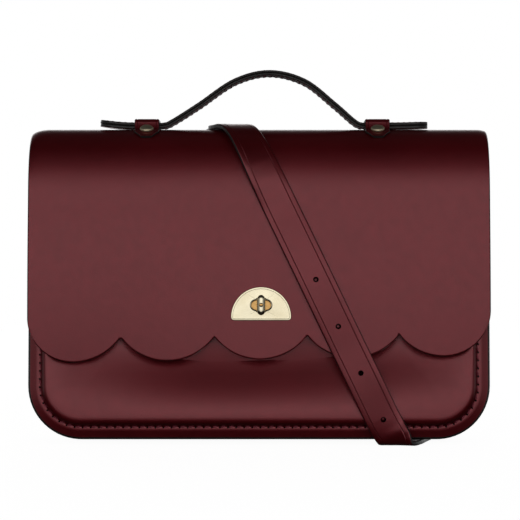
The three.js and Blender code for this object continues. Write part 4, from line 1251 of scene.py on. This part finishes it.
def pierced_plate(name, outlines, face, steps, metal, slot, body):
    """A plate with a hole: two outlines, and for each of them a list of (inset, rise from the face)."""
    rings = []
    for outline, turns in zip(outlines, steps):
        rings += [level(inset(by_angle(outline), by), face + rise) for by, rise in turns]
    shape = Shape()
    shape.skin(AT_LOCK(rings), closed=True)
    shape.make(name, [metal], slot, body, sharp=35)


def lock_plate():
    """The gold plate with its raised rim and collar, and the steel backing inside the flap."""
    rim = [(0, -PLATE), (0, -0.5), (0.1, -0.15), (0.35, 0.08)]
    rim += [(1.2, 0.14), (1.4, -0.1), (1.6, -0.12), (2.0, -0.12)]
    collar = [(-1.3, -0.12), (-1.0, -0.1), (-0.85, 0.05), (-0.6, 0.25)]
    collar += [(-0.35, 0.32), (-0.1, 0.2), (0, -0.1), (0, -PLATE)]
    outlines = (half_moon(43, 24, 2.3), stadium(14.2, 6.6, 24))
    pierced_plate("lock_plate", outlines, PLATE_BACK + PLATE, (rim, collar), GOLD, "pale_gold", "flap_body")
    edge = [(0, -0.5), (0, -0.1), (0.2, 0)]
    hole = [(-0.2, 0), (0, -0.1), (0, -0.5)]
    outlines = (half_moon(38, 21, 2) + [0, 1], stadium(15, 7, 24))
    steps = (edge, hole)
    pierced_plate("lock_plate_backing", outlines, -PLATE_BACK, steps, STEEL, "washer_steel", "flap_body")


def lock_base():
    """An oval plate on the panel, with a neck that comes through the slot and a pivot for the knob."""
    face = -3.8
    oval = stadium(24, 15, 24)
    steps = ((0.3, 0), (0, 0.2), (0, 0.9), (0.4, 1.25), (1.2, 1.3))
    shape = Shape()
    shape.skin(AT_LOCK([level(inset(oval, by), face + rise) for by, rise in steps]))
    front = KNOB_BACK + 3.9
    neck = [(0, face - 4), (2.6, face - 4)]
    neck += [(2.6, KNOB_BACK - 0.6), (2.2, KNOB_BACK - 0.3), (1.2, KNOB_BACK - 0.3)]
    pivot = [(1.2, front), (1.5, front + 0.15), (1.4, front + 0.4), (1.0, front + 0.62), (0, front + 0.7)]
    lathe(shape, neck + pivot, AT_LOCK)
    shape.make("lock_base", [BRASS], "pale_gold", "bag_body", sharp=35)
    edge = [(0.15, 0), (0, -0.15), (0, -0.65), (0.15, -0.8)]
    hole = [(-0.1, -0.8), (0, -0.7), (0, 0)]
    outlines = (stadium(22, 12, 24), arc(0, 0, 2.9, 0, 350, 35))
    deep = -(3.8 + SHEET + 2 * GAP + 0.2)
    pierced_plate("lock_back_washer", outlines, deep, (edge, hole), STEEL, "washer_steel", "bag_body")


def lock_knob():
    """An upright oval knob with a waisted foot and softly domed face."""
    tall = 14.6
    oval = stadium(tall, 6, 24)[:, ::-1] * [1, -1]
    steps = [(1.2, 0), (0.5, 0.4), (0, 1.3)]
    steps += [(2.9 * (1 - math.cos(a)), 1.3 + 2.7 * math.sin(a)) for a in np.radians(range(12, 85, 8))]
    rings = []
    for by, rise in steps:
        x, z = (oval * (1 - by / np.array([3.0, tall / 2]))).T
        waist = 1 - 0.10 * np.cos(z / (tall / 2) * math.pi) ** 2
        rings.append(level(np.column_stack([x * waist, z]), KNOB_BACK + rise))
    shape = Shape()
    shape.skin(AT_LOCK(rings))
    shape.make("lock_knob", [GOLD], "pale_gold", "knob", sharp=50)


lock_plate()
lock_base()
lock_knob()


# --- stage
def camera():
    data = bpy.data.cameras.new("camera")
    data.lens, data.sensor_width = 154.8, 36
    data.clip_start, data.clip_end = 0.05, 50
    made = bpy.data.objects.new("camera", data)
    bpy.context.scene.collection.objects.link(made)
    made.location = (0.0007, -1.646, 0.133)
    made.rotation_euler = (math.radians(90), 0, 0)
    bpy.context.scene.camera = made


def world():
    """Soft panels low in front and behind, dimmer at the sides, under a dark ceiling."""
    made = bpy.data.worlds.new("studio")
    bpy.context.scene.world = made
    made.use_nodes = True
    tree = made.node_tree
    where = tree.nodes.new("ShaderNodeTexCoord").outputs["Generated"]
    apart = tree.nodes.new("ShaderNodeSeparateXYZ")
    tree.links.new(where, apart.inputs["Vector"])
    ramp = tree.nodes.new("ShaderNodeValToRGB")
    tree.links.new(spread(tree, apart.outputs["Z"], 0, 1, -1, 1), ramp.inputs["Fac"])
    bands = [(-90, 0.01), (-14, 0.03), (-3, 1.15), (12, 1.5), (19, 1.2), (31, 0.15), (60, 0.01), (90, 0.03)]
    stops = ramp.color_ramp.elements
    while len(stops) < len(bands):
        stops.new(0.5)
    for stop, (angle, light) in zip(stops, bands):
        stop.position = 0.5 + 0.5 * math.sin(math.radians(angle))
        stop.color = (light, light, light, 1)
    back = tree.nodes["Background"]
    tree.links.new(ramp.outputs["Color"], back.inputs["Color"])
    sideways = tree.nodes.new("ShaderNodeMath")
    sideways.operation = "ABSOLUTE"
    tree.links.new(apart.outputs["X"], sideways.inputs[0])
    tree.links.new(spread(tree, sideways.outputs["Value"], 1.0, 0.22, 0.45, 0.72), back.inputs["Strength"])
    white = tree.nodes.new("ShaderNodeBackground")
    white.inputs["Color"].default_value = (1, 1, 1, 1)
    mix = tree.nodes.new("ShaderNodeMixShader")
    seen = tree.nodes.new("ShaderNodeLightPath").outputs["Is Camera Ray"]
    tree.links.new(seen, mix.inputs["Fac"])
    tree.links.new(back.outputs["Background"], mix.inputs[1])
    tree.links.new(white.outputs["Background"], mix.inputs[2])
    tree.links.new(mix.outputs["Shader"], tree.nodes["World Output"].inputs["Surface"])


def floor():
    """A white ground that is lit by itself, seen by the camera only."""
    turn = np.radians(np.arange(64) * 360 / 64)
    circle = np.column_stack([np.cos(turn), np.sin(turn)])
    shape = Shape()
    shape.skin([level(r * circle, -0.05) for r in (1, 400, 1200, 2600)], ends=False)
    matt = {"Base Color": (0.3, 0.3, 0.3, 1), "Roughness": 1, "Specular IOR Level": 0}
    glow = {"Emission Color": (1, 1, 1, 1), "Emission Strength": 0.955}
    made = shape.bare("floor", [nodes_of("floor_white", {**matt, **glow})[0]])
    made.visible_glossy = False
    made.visible_diffuse = False


camera()
world()
floor()
bpy.context.scene.view_settings.view_transform = "Standard"
